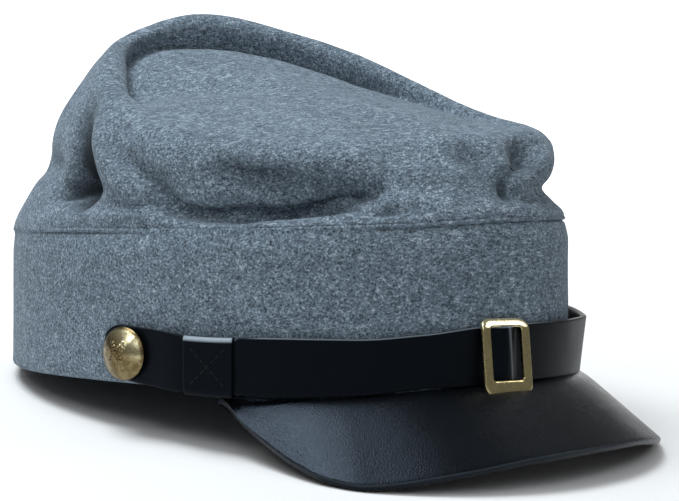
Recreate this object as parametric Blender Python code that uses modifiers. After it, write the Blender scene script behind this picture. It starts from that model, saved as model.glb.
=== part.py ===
"""A soft grey wool kepi with a black leather peak, a chin strap and brass fittings.

Run with blender --background --python part.py, or from Blender's text editor. The cap is worked
out upright, in its own frame: the front of the cap is -Y, up is +Z, and the wearer's right is -X.
Angles go round the cap from the front (0) over the wearer's right (90) to the back (180). The
finished cap is then tipped back on the empty that carries it, onto the back of its band and the
two corners of its peak, as it lies on a table.
"""

import math
from collections import namedtuple

import bmesh
import bpy
import numpy as np
from mathutils import Matrix, Vector

MM = 0.001  # the tables below are written in millimetres and turned into metres here

# --- driving sizes -------------------------------------------------------------------------
BAND_LENGTH = 204 * MM  # front to back, outside
BAND_WIDTH = 175 * MM  # side to side, outside
CLOTH = 2.0 * MM  # fulled wool
GAP = 0.3 * MM  # left between pieces that touch
REST_FLAT = 0.35 * MM  # how much of the cloth and the peak is pressed flat where the cap rests
STEPS_ROUND = 75  # facets round the cap

# The two edges of the cloth band, by angle round the cap.
BandRow = namedtuple("BandRow", "angle bottom_z seam_z")
BAND_ROWS = (
    BandRow(0, 1.0, 53.2),
    BandRow(11, 1.0, 52.4),
    BandRow(21, 0.8, 51.5),
    BandRow(32, 0.2, 50.8),
    BandRow(46, 0.9, 50.1),
    BandRow(56, 2.1, 49.8),
    BandRow(68, 3.2, 49.6),
    BandRow(80, 3.5, 49.4),
    BandRow(125, 3.0, 48.7),
    BandRow(175, 3.0, 48.5),
    BandRow(220, 3.2, 49.2),
    BandRow(265, 3.6, 50.8),
    BandRow(300, 2.4, 52.6),
    BandRow(326, 1.3, 53.5),
    BandRow(342, 1.5, 53.6),
)

# Upright sections through the crown, from the band seam over the soft wall and the rolled edge
# to the seam of the top. "in" is measured inwards from the band and "r" outwards from the middle
# of the cap. skirt and puff push the cloth out between the seam and the tuck and between the
# crest and the lip.
Section = namedtuple(
    "Section", "angle skirt tuck_in tuck_z swell_in swell_z roll crest_r crest_z puff lip_r lip_z"
)
SECTIONS = (
    Section(0, 0.8, 7.5, 60.0, 5.5, 69.0, 6.0, 86.0, 77.5, 0.8, 77.0, 80.0),
    Section(15, 0.5, 4.5, 59.0, 6.5, 66.0, 6.0, 85.0, 75.3, 0.8, 75.5, 78.5),
    Section(30, 2.0, 8.0, 58.0, 3.5, 64.5, 6.0, 84.0, 73.6, 0.8, 74.0, 77.5),
    Section(45, 1.0, 10.0, 55.0, 0.5, 61.8, 6.0, 84.0, 73.0, 0.8, 72.5, 77.0),
    Section(60, 0.5, 10.0, 54.6, 0.3, 61.5, 6.0, 81.5, 75.0, 0.8, 70.0, 79.0),
    Section(73, 1.0, 7.0, 56.0, 2.0, 64.5, 6.0, 77.0, 79.5, 0.8, 65.0, 82.6),
    Section(86, 1.0, 5.5, 58.0, 5.0, 69.5, 6.0, 72.5, 86.5, 1.2, 61.0, 86.6),
    Section(98, 1.5, 7.0, 60.0, 7.0, 72.5, 6.0, 69.0, 93.6, 2.2, 58.0, 89.2),
    Section(110, 2.0, 9.0, 66.0, 9.2, 76.5, 6.0, 64.8, 101.0, 3.4, 55.6, 91.5),
    Section(124, 2.4, 12.4, 71.5, 11.8, 80.0, 6.0, 60.4, 107.8, 4.2, 55.5, 95.3),
    Section(138, 2.4, 13.5, 71.0, 14.5, 80.0, 6.0, 60.6, 112.8, 4.6, 56.6, 101.8),
    Section(153, 2.0, 14.0, 69.0, 16.0, 80.0, 6.0, 61.6, 117.6, 4.6, 57.0, 108.2),
    Section(168, 2.0, 14.0, 67.0, 17.5, 81.0, 6.0, 62.0, 123.0, 4.6, 57.0, 113.2),
    Section(183, 2.0, 14.0, 66.0, 18.0, 84.0, 6.0, 62.0, 128.2, 4.6, 57.0, 114.9),
    Section(203, 2.0, 12.0, 68.0, 17.0, 86.0, 6.0, 62.0, 129.2, 4.6, 57.0, 115.1),
    Section(223, 2.0, 11.0, 68.0, 15.0, 86.0, 6.0, 64.0, 124.2, 4.6, 58.5, 112.6),
    Section(243, 1.5, 8.0, 66.0, 10.0, 82.0, 6.0, 66.0, 117.0, 4.2, 61.0, 106.4),
    Section(263, 1.5, 6.0, 64.0, 6.0, 77.0, 6.0, 70.0, 106.0, 3.4, 65.0, 98.7),
    Section(283, 1.5, 5.5, 63.0, 4.0, 73.0, 6.0, 76.0, 94.6, 2.4, 70.5, 91.0),
    Section(303, 1.0, 6.0, 63.0, 3.6, 72.5, 6.0, 82.5, 86.6, 1.4, 76.5, 85.6),
    Section(322, 0.4, 8.9, 63.6, 4.0, 74.2, 6.0, 85.8, 83.0, 0.8, 78.5, 83.4),
    Section(342, 0.4, 9.0, 61.5, 4.5, 72.0, 6.0, 86.6, 79.8, 0.8, 78.5, 81.5),
)
SEAM, HEM, SKIRT, TUCK, HANG, SWELL, SHOULDER, CREST, BROW, LIP = range(10)  # up a section
HEM_HEIGHT = 1.0 * MM  # the crown's edge stands upright on the band for this much
TOP_DOME = 3.0 * MM  # how far the sunk top swells up in the middle
TOP_RINGS = (1.0, 0.8, 0.5, 0.2)  # shares of the way out to its seam

# Creases pressed into the crown, and ridges where the depth is below 0. Each runs between two
# places on the wall, given as an angle round the cap and a height.
Fold = namedtuple("Fold", "from_angle from_z to_angle to_z depth half_width")
FOLDS = (
    Fold(90, 58.0, 103, 86.0, 7.0, 6.0),
    Fold(85, 58.0, 101, 59.0, 4.5, 4.5),
    Fold(64, 56.0, 84, 72.0, 4.0, 5.5),
    Fold(83, 58.0, 89, 68.0, -2.5, 5.0),
    Fold(71, 56.0, 44, 55.0, 3.0, 4.5),
    Fold(46, 55.0, 20, 63.0, 5.5, 5.0),
    Fold(57, 68.0, 42, 70.0, 2.0, 7.0),
    Fold(-3, 58.0, -4, 67.0, 5.0, 5.0),
    Fold(-7, 60.0, -24, 75.0, -2.5, 5.0),
    Fold(8, 75.0, -1, 63.0, 3.0, 6.0),
    Fold(-1, 59.5, -30, 62.5, 2.0, 4.5),
    Fold(195, 62.0, 209, 86.0, 3.0, 7.0),
    Fold(243, 60.0, 256, 80.0, 3.0, 7.0),
    Fold(290, 58.0, 278, 74.0, 2.5, 6.0),
)
FOLD_STEPS = 14

# --- the peak ------------------------------------------------------------------------------
PEAK_LEATHER = 2.6 * MM
PEAK_END = 55  # angle of each end, either side of the front
PEAK_BEND = 0.18  # share of the way out at which the peak turns down
# How far the peak's edge reaches out from the band, and its height, by angle from the front.
PeakRow = namedtuple("PeakRow", "angle reach edge_z")
PEAK_ROWS = (
    PeakRow(0, 29.6, -13.5),
    PeakRow(10, 30.0, -14.0),
    PeakRow(21, 30.6, -16.5),
    PeakRow(33, 29.8, -19.2),
    PeakRow(38, 26.2, -17.6),
    PeakRow(42, 20.0, -14.4),
    PeakRow(46, 13.2, -10.0),
    PeakRow(50, 7.4, -5.4),
    PeakRow(55, 1.0, 0.9),
)

# --- the chin strap and its fittings --------------------------------------------------------
STRAP_LEATHER = 2.0 * MM
KEEPER_LEATHER = 1.0 * MM
# The strap's middle height and width, how far its back stands off the band, and how much its
# upper edge leans out beyond that.
StrapRow = namedtuple("StrapRow", "angle height width off flare")
STRAP_ROWS = (
    StrapRow(-80, 14.4, 15.0, 0.3, 0.0),
    StrapRow(-66, 14.2, 16.5, 1.2, 0.4),
    StrapRow(-50, 13.0, 18.2, 3.2, 1.4),
    StrapRow(-34, 11.4, 18.4, 3.0, 1.2),
    StrapRow(-18, 11.8, 18.0, 1.4, 0.4),
    StrapRow(-0.4, 12.6, 17.3, 0.8, 0.0),
    StrapRow(1.4, 13.4, 13.6, 0.9, 0.0),
    StrapRow(5, 13.4, 13.6, 2.8, 0.0),
    StrapRow(8.6, 13.4, 13.6, 0.9, 0.0),
    StrapRow(10.4, 12.3, 17.3, 0.8, 0.0),
    StrapRow(20, 10.6, 17.5, 0.5, 0.0),
    StrapRow(31, 9.5, 17.5, 0.5, 0.0),
    StrapRow(47, 10.1, 17.3, 1.8, 0.0),
    StrapRow(52, 10.5, 16.0, 1.8, 0.0),
    StrapRow(62, 11.4, 15.6, 1.8, 0.0),
    StrapRow(70, 12.8, 15.2, 0.6, 0.0),
    StrapRow(80, 13.8, 15.0, 0.3, 0.0),
)
STRAP_END = 80
BUTTON_ANGLE = 75
KEEPER_SPAN = (52, 61)  # from and to, round the band

BUCKLE_ANGLE = 5
BUCKLE_HEIGHT = 13.6 * MM  # the middle of its window
BUCKLE_WIDTH = 17.8 * MM
BUCKLE_SIDE_BAR = 3.0 * MM
BUCKLE_OPENING = 14.7 * MM
BUCKLE_TOP_BAR = 2.6 * MM
BUCKLE_BOTTOM_BAR = 4.6 * MM
BUCKLE_CORNER = 3.6 * MM
BUCKLE_PLATE = 1.8 * MM
BUCKLE_OFF = 3.0 * MM  # back of the frame to the band
BUCKLE_BAR = 1.8 * MM  # the hidden bar that the strap rides over
BUCKLE_LEAN = 4  # degrees, its foot towards the wearer's left

# A button's profile from its crown down to the foot of its shank: radius and height above cloth.
ButtonRow = namedtuple("ButtonRow", "radius height")
BUTTON_ROWS = (
    ButtonRow(0.0, 7.3),
    ButtonRow(2.6, 7.0),
    ButtonRow(4.8, 6.3),
    ButtonRow(6.4, 5.2),
    ButtonRow(7.2, 4.5),
    ButtonRow(7.6, 4.7),
    ButtonRow(8.0, 4.2),
    ButtonRow(7.7, 3.5),
    ButtonRow(6.8, 2.9),
    ButtonRow(1.6, 2.8),
    ButtonRow(1.6, 0.4),
    ButtonRow(0.0, 0.4),
)
SHANK_HOLE = 4.4 * MM


# --- curves and tables ----------------------------------------------------------------------


def facing(angle):
    """The level unit vector that points out of the cap at this angle, in degrees."""
    turn = np.radians(angle)
    return np.stack([-np.sin(turn), -np.cos(turn), np.zeros_like(turn)], -1)


def place(angle, radius, height):
    """A point of the upright cap, in metres."""
    return facing(angle) * np.asarray(radius)[..., None] + np.array([0, 0, 1.0]) * (
        np.asarray(height)[..., None]
    )


def band_radius(angle):
    """From the middle of the cap to the outside of its oval band."""
    turn = np.radians(angle)
    half_length = BAND_LENGTH / 2
    half_width = BAND_WIDTH / 2
    return half_length * half_width / np.hypot(
        half_width * np.cos(turn), half_length * np.sin(turn)
    )


def band_outward(angle):
    """The direction, as an angle, in which the oval band faces at this angle."""
    turn = math.radians(angle)
    lean = (BAND_LENGTH / BAND_WIDTH) ** 2
    return math.degrees(math.atan2(lean * math.sin(turn), math.cos(turn)))


def hermite(knots, values, slopes, at):
    """A cubic through the values, with these slopes."""
    i = np.clip(np.searchsorted(knots, at, side="right") - 1, 0, len(knots) - 2)
    span = knots[i + 1] - knots[i]
    t = (at - knots[i]) / span
    return (
        values[i] * (1 + 2 * t) * (1 - t) ** 2
        + slopes[i] * span * t * (1 - t) ** 2
        + values[i + 1] * t * t * (3 - 2 * t)
        + slopes[i + 1] * span * t * t * (t - 1)
    )


def round_cap(rows, column, angle):
    """A column of a table, in metres, on a smooth curve that closes round the cap."""
    knots = np.array([row.angle for row in rows], float)
    values = np.array([getattr(row, column) for row in rows], float) * MM
    knots = np.concatenate([knots[-2:] - 360, knots, knots[:3] + 360])
    values = np.concatenate([values[-2:], values, values[:3]])
    return hermite(knots, values, np.gradient(values, knots), np.mod(angle, 360))


def steady(rows, column, angle):
    """A column of an open table, in metres, on a curve that never swings past its rows."""
    knots = np.array([row.angle for row in rows], float)
    values = np.array([getattr(row, column) for row in rows], float) * MM
    rise = np.diff(values) / np.diff(knots)
    slopes = np.zeros_like(values)
    same_way = rise[1:] * rise[:-1] > 0
    both = np.where(same_way, rise[1:] + rise[:-1], 1)
    slopes[1:-1] = np.where(same_way, 2 * rise[1:] * rise[:-1] / both, 0)
    return hermite(knots, values, slopes, angle)


# --- the crown's surface --------------------------------------------------------------------


def section_stations(angle):
    """The stations of the crown's section at each angle, as points, stations first."""
    at = {name: round_cap(SECTIONS, name, angle) for name in Section._fields[1:]}
    band = band_radius(angle)
    seam_z = round_cap(BAND_ROWS, "seam_z", angle) + GAP
    tuck_r = band - at["tuck_in"]
    swell_r = band - at["swell_in"]
    hang = np.where(swell_r > tuck_r, 0.78, 0.35)  # the swell hangs over a deep tuck
    slope_r = at["lip_r"] - at["crest_r"]
    slope_z = at["lip_z"] - at["crest_z"]
    puff = at["puff"] / np.hypot(slope_r, slope_z)
    return np.stack(
        [
            place(angle, band, seam_z),
            place(angle, band, seam_z + HEM_HEIGHT),
            place(angle, (band + tuck_r) / 2 + at["skirt"], (seam_z + at["tuck_z"]) / 2),
            place(angle, tuck_r, at["tuck_z"]),
            place(
                angle,
                tuck_r + hang * (swell_r - tuck_r),
                at["tuck_z"] + 0.22 * (at["swell_z"] - at["tuck_z"]),
            ),
            place(angle, swell_r, at["swell_z"]),
            place(angle, at["crest_r"] + at["roll"], at["crest_z"] - at["roll"]),
            place(angle, at["crest_r"], at["crest_z"]),
            place(
                angle,
                at["crest_r"] + slope_r / 2 + slope_z * puff,
                at["crest_z"] + slope_z / 2 - slope_r * puff,
            ),
            place(angle, at["lip_r"], at["lip_z"]),
        ]
    )


def station_slopes(stations):
    """Tangents at the stations, weighted so that the curve does not swing past close ones."""
    step = np.diff(stations, axis=0)
    length = np.linalg.norm(step, axis=-1, keepdims=True)
    way = step / length
    inner = (way[1:] * length[:-1] + way[:-1] * length[1:]) / (length[:-1] + length[1:])
    return np.concatenate([way[:1], inner, way[-1:]]), length


def wall_points(angle, stations_up):
    """Points on the smooth wall through the stations, at fractional stations."""
    stations = section_stations(angle)
    slopes, length = station_slopes(stations)
    rings = []
    for station in stations_up:
        i = min(int(station), len(stations) - 2)
        t = station - i
        rings.append(
            stations[i] * (1 + 2 * t) * (1 - t) ** 2
            + slopes[i] * length[i] * t * (1 - t) ** 2
            + stations[i + 1] * t * t * (3 - 2 * t)
            + slopes[i + 1] * length[i] * t * t * (t - 1)
        )
    return np.stack(rings)


def fold_line(fold):
    """Points along a fold, where it crosses the wall before it is creased."""
    share = np.linspace(0, 1, FOLD_STEPS)
    angle = fold.from_angle + (fold.to_angle - fold.from_angle) * share
    height = (fold.from_z + (fold.to_z - fold.from_z) * share) * MM
    wall = wall_points(angle, np.linspace(HEM, CREST, 49))
    nearest = np.abs(wall[:, :, 2] - height).argmin(axis=0)
    return wall[nearest, np.arange(FOLD_STEPS)]


def grid_normals(grid):
    """Outward normals of a grid of points that closes round the cap."""
    along = np.roll(grid, -1, axis=1) - np.roll(grid, 1, axis=1)
    up = np.gradient(grid, axis=0)
    normal = np.cross(up, along)
    return normal / np.linalg.norm(normal, axis=-1, keepdims=True)


def creased(grid, folds):
    """The grid with each fold pressed in along its line, fading at both ends."""
    normals = grid_normals(grid)
    pushed = grid.copy()
    for fold in folds:
        line = fold_line(fold)
        away = np.linalg.norm(grid[:, :, None, :] - line, axis=-1)
        share = away.argmin(axis=-1) / (FOLD_STEPS - 1)
        fade = np.sqrt(np.clip(np.minimum(share, 1 - share) * 4 + 0.15, 0, 1))
        press = np.exp(-((away.min(axis=-1) / (fold.half_width * MM)) ** 2))
        press[:2] = 0  # the hem stays on the band
        pushed -= normals * (fold.depth * MM * press * fade)[..., None]
    return pushed


def top_grid(lip, shares):
    """Rings of the sunk round top, from its seam inwards, and its middle."""
    hub = lip.mean(axis=0)
    spread = lip - hub
    seam_share = 1 - (GAP / np.linalg.norm(spread, axis=-1))[:, None]
    up = np.array([0, 0, TOP_DOME])
    rings = [hub + spread * seam_share * share + up * (1 - share**2) for share in shares]
    return rings, hub + up


# --- mesh helpers ---------------------------------------------------------------------------


class Workbench:
    """Where the pieces go: the visible collection, the cutters, and the empty they ride on."""

    def __init__(self):
        self.pieces = bpy.data.collections.new("kepi")
        self.cutters = bpy.data.collections.new("kepi_cutters")
        bpy.context.scene.collection.children.link(self.pieces)
        bpy.context.scene.collection.children.link(self.cutters)
        self.carrier = bpy.data.objects.new("kepi_carrier", None)
        self.pieces.objects.link(self.carrier)

    def piece(self, name, mesh, finish, smooth=True):
        """Adds a mesh as a named piece that rides on the carrier."""
        mesh.materials.append(finish)
        mesh.shade_smooth() if smooth else mesh.shade_flat()
        obj = bpy.data.objects.new(name, mesh)
        self.pieces.objects.link(obj)
        obj.parent = self.carrier
        return obj

    def cutter(self, name, mesh, rides=True):
        """Adds a mesh as a hidden cutting shape."""
        obj = bpy.data.objects.new(name, mesh)
        self.cutters.objects.link(obj)
        obj.parent = self.carrier if rides else None
        obj.hide_render = True
        obj.display_type = "WIRE"
        return obj


def loft(name, grid, closed_round=True, hub=None, capped=False):
    """A sheet through rings of points, closed by a middle point or by flat ends if asked."""
    bm = bmesh.new()
    rings = [[bm.verts.new(point) for point in ring] for ring in grid]
    count = len(rings[0])
    for low, high in zip(rings, rings[1:]):
        for i in range(count if closed_round else count - 1):
            j = (i + 1) % count
            bm.faces.new((low[i], high[i], high[j], low[j]))
    if hub is not None:
        middle = bm.verts.new(hub)
        for i in range(count):
            bm.faces.new((rings[-1][i], middle, rings[-1][(i + 1) % count]))
    if capped:
        bm.faces.new(rings[0])
        bm.faces.new(reversed(rings[-1]))
        bmesh.ops.recalc_face_normals(bm, faces=bm.faces)
    mesh = bpy.data.meshes.new(name)
    bm.to_mesh(mesh)
    bm.free()
    return mesh


def box(name, low, high, corner=0.0):
    """A box between two corners, with its four edges along Y rounded if asked."""
    bm = bmesh.new()
    bmesh.ops.create_cube(bm, size=1)
    centre = (Vector(low) + Vector(high)) / 2
    for vert in bm.verts:
        vert.co = centre + Vector(c * (h - lo) for c, lo, h in zip(vert.co, low, high))
    if corner:
        edges = [e for e in bm.edges if abs(e.verts[0].co.y - e.verts[1].co.y) > MM / 10]
        bmesh.ops.bevel(bm, geom=edges, offset=corner, segments=3, profile=0.5, affect="EDGES")
    mesh = bpy.data.meshes.new(name)
    bm.to_mesh(mesh)
    bm.free()
    return mesh


def thicken(obj, thickness):
    """Turns a sheet into a wall, inwards from the face that shows."""
    solid = obj.modifiers.new("thickness", "SOLIDIFY")
    solid.thickness = thickness
    solid.offset = -1


def boolean(obj, other, operation):
    """Joins or cuts another shape, exactly."""
    step = obj.modifiers.new(f"{operation.lower()} {other.name}", "BOOLEAN")
    step.operation = operation
    step.solver = "EXACT"
    step.object = other


def bevel(obj, width, segments=2):
    """Rounds the sharp edges."""
    step = obj.modifiers.new("rounded edges", "BEVEL")
    step.width = width
    step.segments = segments
    step.limit_method = "ANGLE"
    step.angle_limit = math.radians(40)


def stand_on_band(obj, angle, height, lean=0):
    """Puts a fitting on the band: its own +Y faces out and its +Z is up."""
    foot = place(np.array(angle), band_radius(angle), np.array(height))
    turn = Matrix.Rotation(math.radians(180 - band_outward(angle)), 4, "Z")
    tip = Matrix.Rotation(math.radians(lean), 4, "Y")
    obj.matrix_local = Matrix.Translation(Vector(foot)) @ turn @ tip


def round_angles():
    return np.arange(STEPS_ROUND) * 360 / STEPS_ROUND


# --- cloth ----------------------------------------------------------------------------------


def build_band(bench, cloth):
    """The upright cloth band, an oval wall with the felled seam as a ridge along its top."""
    angles = round_angles()
    radius = band_radius(angles)
    bottom = round_cap(BAND_ROWS, "bottom_z", angles)
    top = round_cap(BAND_ROWS, "seam_z", angles)
    ridge = 0.7 * MM
    grid = [
        place(angles, radius, bottom),
        place(angles, radius, top - 3.2 * MM),
        place(angles, radius + ridge, top - 2.0 * MM),
        place(angles, radius + ridge, top - 1.0 * MM),
        place(angles, radius, top),
    ]
    band = bench.piece("band", loft("band", grid), cloth)
    thicken(band, CLOTH)
    return band


def build_crown(bench, cloth):
    """The soft side of the crown with its creases and roll, and the round top sunk in it."""
    angles = round_angles()
    stations_up = [SEAM, *np.arange(HEM, LIP + 0.1, 0.5)]
    grid = wall_points(angles, stations_up)
    grid = creased(grid, FOLDS)
    side = bench.piece("crown_side", loft("crown_side", grid), cloth)
    thicken(side, CLOTH)
    rings, hub = top_grid(grid[-1], TOP_RINGS)
    top = bench.piece("crown_top", loft("crown_top", rings, hub=hub), cloth)
    thicken(top, CLOTH)


# --- leather --------------------------------------------------------------------------------


def build_peak(bench, leather):
    """The curved leather peak, from under the front of the band out to its rounded corners."""
    angles = np.linspace(-PEAK_END, PEAK_END, 37)
    root_z = round_cap(BAND_ROWS, "bottom_z", angles) - GAP
    reach = steady(PEAK_ROWS, "reach", np.abs(angles))
    edge_z = steady(PEAK_ROWS, "edge_z", np.abs(angles))
    grid = []
    for share in (0, 0.12, 0.24, 0.4, 0.7, 1):
        sink = (peak_sink(share) - peak_sink(0)) / (peak_sink(1) - peak_sink(0))
        radius = band_radius(angles) - 1.5 * MM + (reach + 1.5 * MM) * share
        grid.append(place(angles, radius, root_z + (edge_z - root_z) * sink))
    peak = bench.piece("peak", loft("peak", grid[::-1], closed_round=False), leather)
    thicken(peak, PEAK_LEATHER)
    bevel(peak, 0.8 * MM, segments=1)
    return peak


def peak_sink(share):
    """The peak's section: nearly level at the band, then a straight slope."""
    past_bend = share - PEAK_BEND
    return past_bend + math.hypot(past_bend, 0.08)


def strip(name, angles, thickness, slack=0.0, behind=0.0, ends_round=False):
    """A length of strap: a bevelled bar that follows the strap's table round the band.

    slack widens it on its edges and its outer face, and behind moves its back towards the band.
    """
    height = steady(STRAP_ROWS, "height", angles)
    half = steady(STRAP_ROWS, "width", angles) / 2 + slack
    flare = steady(STRAP_ROWS, "flare", angles)
    back = band_radius(angles) + steady(STRAP_ROWS, "off", angles) - behind
    front = back + behind + thickness + slack
    if ends_round:
        along = (STRAP_END - np.abs(angles)) * math.radians(1) * band_radius(angles)
        short = np.clip(1 - along / (7 * MM), 0, 1)
        half = half * (0.35 + 0.65 * np.sqrt(1 - short**2))
    edge = 0.45 * MM
    corners = [
        (back, -half + edge),
        (back + edge, -half),
        (front - edge, -half),
        (front, -half + edge),
        (front, half - edge),
        (front - edge, half),
        (back + edge, half),
        (back, half - edge),
    ]
    grid = [place(angles, out + flare * up / half, height + up) for out, up in corners]
    grid = np.stack(grid, axis=1)
    return loft(name, grid, capped=True)


def build_strap(bench, leather):
    """The chin strap across the front, from button to button."""
    near_buckle = np.linspace(BUCKLE_ANGLE - 7, BUCKLE_ANGLE + 7, 17)
    sides = np.linspace(BUCKLE_ANGLE + 8, STRAP_END, 26)
    other = -np.linspace(STRAP_END, 3, 28)
    angles = np.concatenate([other, near_buckle, sides])
    strap = bench.piece(
        "chin_strap", strip("chin_strap", angles, STRAP_LEATHER, ends_round=True), leather
    )
    for side, angle in (("right", BUTTON_ANGLE), ("left", -BUTTON_ANGLE)):
        radius = SHANK_HOLE / MM / 2
        profile = [(0, 8), (radius, 8), (radius, -0.05), (0, -0.05)]
        cutter = bench.cutter("shank_hole_" + side, turned("shank_hole_" + side, profile))
        screw(cutter, 12)
        stand_on_band(cutter, angle, button_height(angle))
        boolean(strap, cutter, "DIFFERENCE")
    return strap


def build_keeper(bench, leather):
    """A leather loop round the strap, on the wearer's right."""
    start, end = KEEPER_SPAN
    wrap = GAP + KEEPER_LEATHER
    outer = strip("keeper", np.linspace(start, end, 9), STRAP_LEATHER, wrap, wrap)
    keeper = bench.piece("keeper", outer, leather)
    inner = strip("keeper_hollow", np.linspace(start - 1, end + 1, 11), STRAP_LEATHER, GAP, GAP)
    boolean(keeper, bench.cutter("keeper_hollow", inner), "DIFFERENCE")
    return keeper


# --- brass ----------------------------------------------------------------------------------


def turned(name, profile):
    """An open profile of radius and height pairs, top to bottom, to be turned about +Y."""
    bm = bmesh.new()
    points = [bm.verts.new((radius * MM, height * MM, 0)) for radius, height in profile]
    for upper, lower in zip(points, points[1:]):
        bm.edges.new((upper, lower))
    mesh = bpy.data.meshes.new(name)
    bm.to_mesh(mesh)
    bm.free()
    return mesh


def screw(obj, steps):
    """Turns the profile of an object once round its own Y axis."""
    step = obj.modifiers.new("turned", "SCREW")
    step.axis = "Y"
    step.steps = step.render_steps = steps
    step.use_merge_vertices = True
    step.merge_threshold = 0.01 * MM


def button_height(angle):
    return float(steady(STRAP_ROWS, "height", np.array(float(angle))))


def build_button(bench, brass, name, angle):
    """A domed button with a rolled rim and a short shank through the end of the strap."""
    button = bench.piece(name, turned(name, BUTTON_ROWS), brass)
    screw(button, 20)
    stand_on_band(button, angle, button_height(angle))
    return button


def build_buckle(bench, brass):
    """A rectangular slide: a frame over the strap and a bar under it."""
    half = BUCKLE_WIDTH / 2
    inside = half - BUCKLE_SIDE_BAR
    window_top = BUCKLE_OPENING / 2
    top = window_top + BUCKLE_TOP_BAR
    foot = -window_top - BUCKLE_BOTTOM_BAR
    front = BUCKLE_OFF + BUCKLE_PLATE
    bar_back = 0.5 * MM
    into_plate = BUCKLE_OFF + 0.6 * MM
    height = BUCKLE_HEIGHT
    plate = box("buckle", (-half, BUCKLE_OFF, foot), (half, front, top), BUCKLE_CORNER)
    buckle = bench.piece("buckle", plate, brass)
    bar = box(
        "buckle_bar",
        (-BUCKLE_BAR / 2, bar_back, foot + 1 * MM),
        (BUCKLE_BAR / 2, into_plate, top - 1 * MM),
    )
    window = box(
        "buckle_window",
        (-inside, bar_back + BUCKLE_BAR, -window_top),
        (inside, front + 1 * MM, window_top),
    )
    for mesh, operation in ((bar, "UNION"), (window, "DIFFERENCE")):
        part = bench.cutter(mesh.name, mesh)
        stand_on_band(part, BUCKLE_ANGLE, height, BUCKLE_LEAN)
        boolean(buckle, part, operation)
    stand_on_band(buckle, BUCKLE_ANGLE, height, BUCKLE_LEAN)
    bevel(buckle, 0.5 * MM, segments=1)
    return buckle


# --- resting pose ---------------------------------------------------------------------------


def finished_points(objects):
    """The corners of the finished meshes, in world space."""
    depsgraph = bpy.context.evaluated_depsgraph_get()
    points = []
    for obj in objects:
        shape = obj.evaluated_get(depsgraph)
        mesh = shape.to_mesh()
        flat = np.empty(len(mesh.vertices) * 3)
        mesh.vertices.foreach_get("co", flat)
        world = np.array(shape.matrix_world)
        points.append(flat.reshape(-1, 3) @ world[:3, :3].T + world[:3, 3])
        shape.to_mesh_clear()
    return np.concatenate(points)


def rest_tilt(points):
    """How far to tip the cap back so that its band and its peak stand on one level floor."""
    low, high = 0.0, math.radians(20)
    for _ in range(40):
        middle = (low + high) / 2
        level = points[:, 2] * math.cos(middle) - points[:, 1] * math.sin(middle)
        front = level[points[:, 1] < 0].min()
        back = level[points[:, 1] > 0].min()
        low, high = (middle, high) if front < back else (low, middle)
    return (low + high) / 2


def lay_down(bench, resting):
    """Tips the cap onto the floor, centres it and presses flat the spots that it rests on."""
    bpy.context.view_layer.update()
    tilt = -rest_tilt(finished_points(resting))
    bench.carrier.rotation_euler = (tilt, 0, 0)
    bpy.context.view_layer.update()
    everything = finished_points([obj for obj in bench.pieces.objects if obj.type == "MESH"])
    low, high = everything.min(axis=0), everything.max(axis=0)
    middle = (low + high) / 2
    bench.carrier.location = (-middle[0], -middle[1], -low[2] - REST_FLAT)
    floor = box("floor", (-0.2, -0.2, -0.02), (0.2, 0.2, 0))
    cutter = bench.cutter("floor", floor, rides=False)
    for obj in resting:
        boolean(obj, cutter, "DIFFERENCE")


def finish(name, colour, roughness, metallic=0.0):
    """A plain material in the piece's colour."""
    made = bpy.data.materials.new(name)
    made.use_nodes = True
    shader = made.node_tree.nodes["Principled BSDF"]
    shader.inputs["Base Color"].default_value = (*colour, 1)
    shader.inputs["Roughness"].default_value = roughness
    shader.inputs["Metallic"].default_value = metallic
    return made


def main():
    for obj in list(bpy.data.objects):
        bpy.data.objects.remove(obj)
    bench = Workbench()
    cloth = finish("grey_wool", (0.16, 0.19, 0.23), 0.95)
    leather = finish("black_leather", (0.012, 0.013, 0.015), 0.45)
    brass = finish("aged_brass", (0.55, 0.42, 0.16), 0.35, 1.0)
    band = build_band(bench, cloth)
    build_crown(bench, cloth)
    peak = build_peak(bench, leather)
    build_strap(bench, leather)
    build_keeper(bench, leather)
    build_buckle(bench, brass)
    build_button(bench, brass, "button_right", BUTTON_ANGLE)
    build_button(bench, brass, "button_left", -BUTTON_ANGLE)
    lay_down(bench, [band, peak])


main()
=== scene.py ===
"""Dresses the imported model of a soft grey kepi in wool, leather and brass, and lights it.

Laid out as a Blender add-on and run as a script. Every piece is worked out in the upright cap's
own frame: the front of the cap is -Y, up is +Z, and the wearer's right is -X. Angles go round the
cap from the front (0) over the wearer's right (90) to the back (180). The finished pieces are then
tipped back to where the cap rests, and what would reach through the floor is pressed flat on it.
"""

import math
from collections import namedtuple

import bmesh
import bpy
import numpy as np
from bpy.props import FloatProperty, FloatVectorProperty, IntProperty, PointerProperty
from bpy.types import Operator, Panel, PropertyGroup
from mathutils import Matrix, Vector, noise


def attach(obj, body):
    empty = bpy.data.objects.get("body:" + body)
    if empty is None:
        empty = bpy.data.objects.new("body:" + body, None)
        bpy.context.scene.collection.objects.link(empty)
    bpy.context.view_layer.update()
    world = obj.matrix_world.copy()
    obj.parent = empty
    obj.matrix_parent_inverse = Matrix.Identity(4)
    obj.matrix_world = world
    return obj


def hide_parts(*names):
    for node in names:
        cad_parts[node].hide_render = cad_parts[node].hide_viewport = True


bl_info = {
    "name": "Soft wool kepi",
    "version": (1, 0, 0),
    "blender": (4, 5, 0),
    "location": "3D View > Sidebar > Kepi",
    "description": "Builds the cloth, leather and brass of a soft kepi around its packed model",
    "category": "Object",
}

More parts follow.
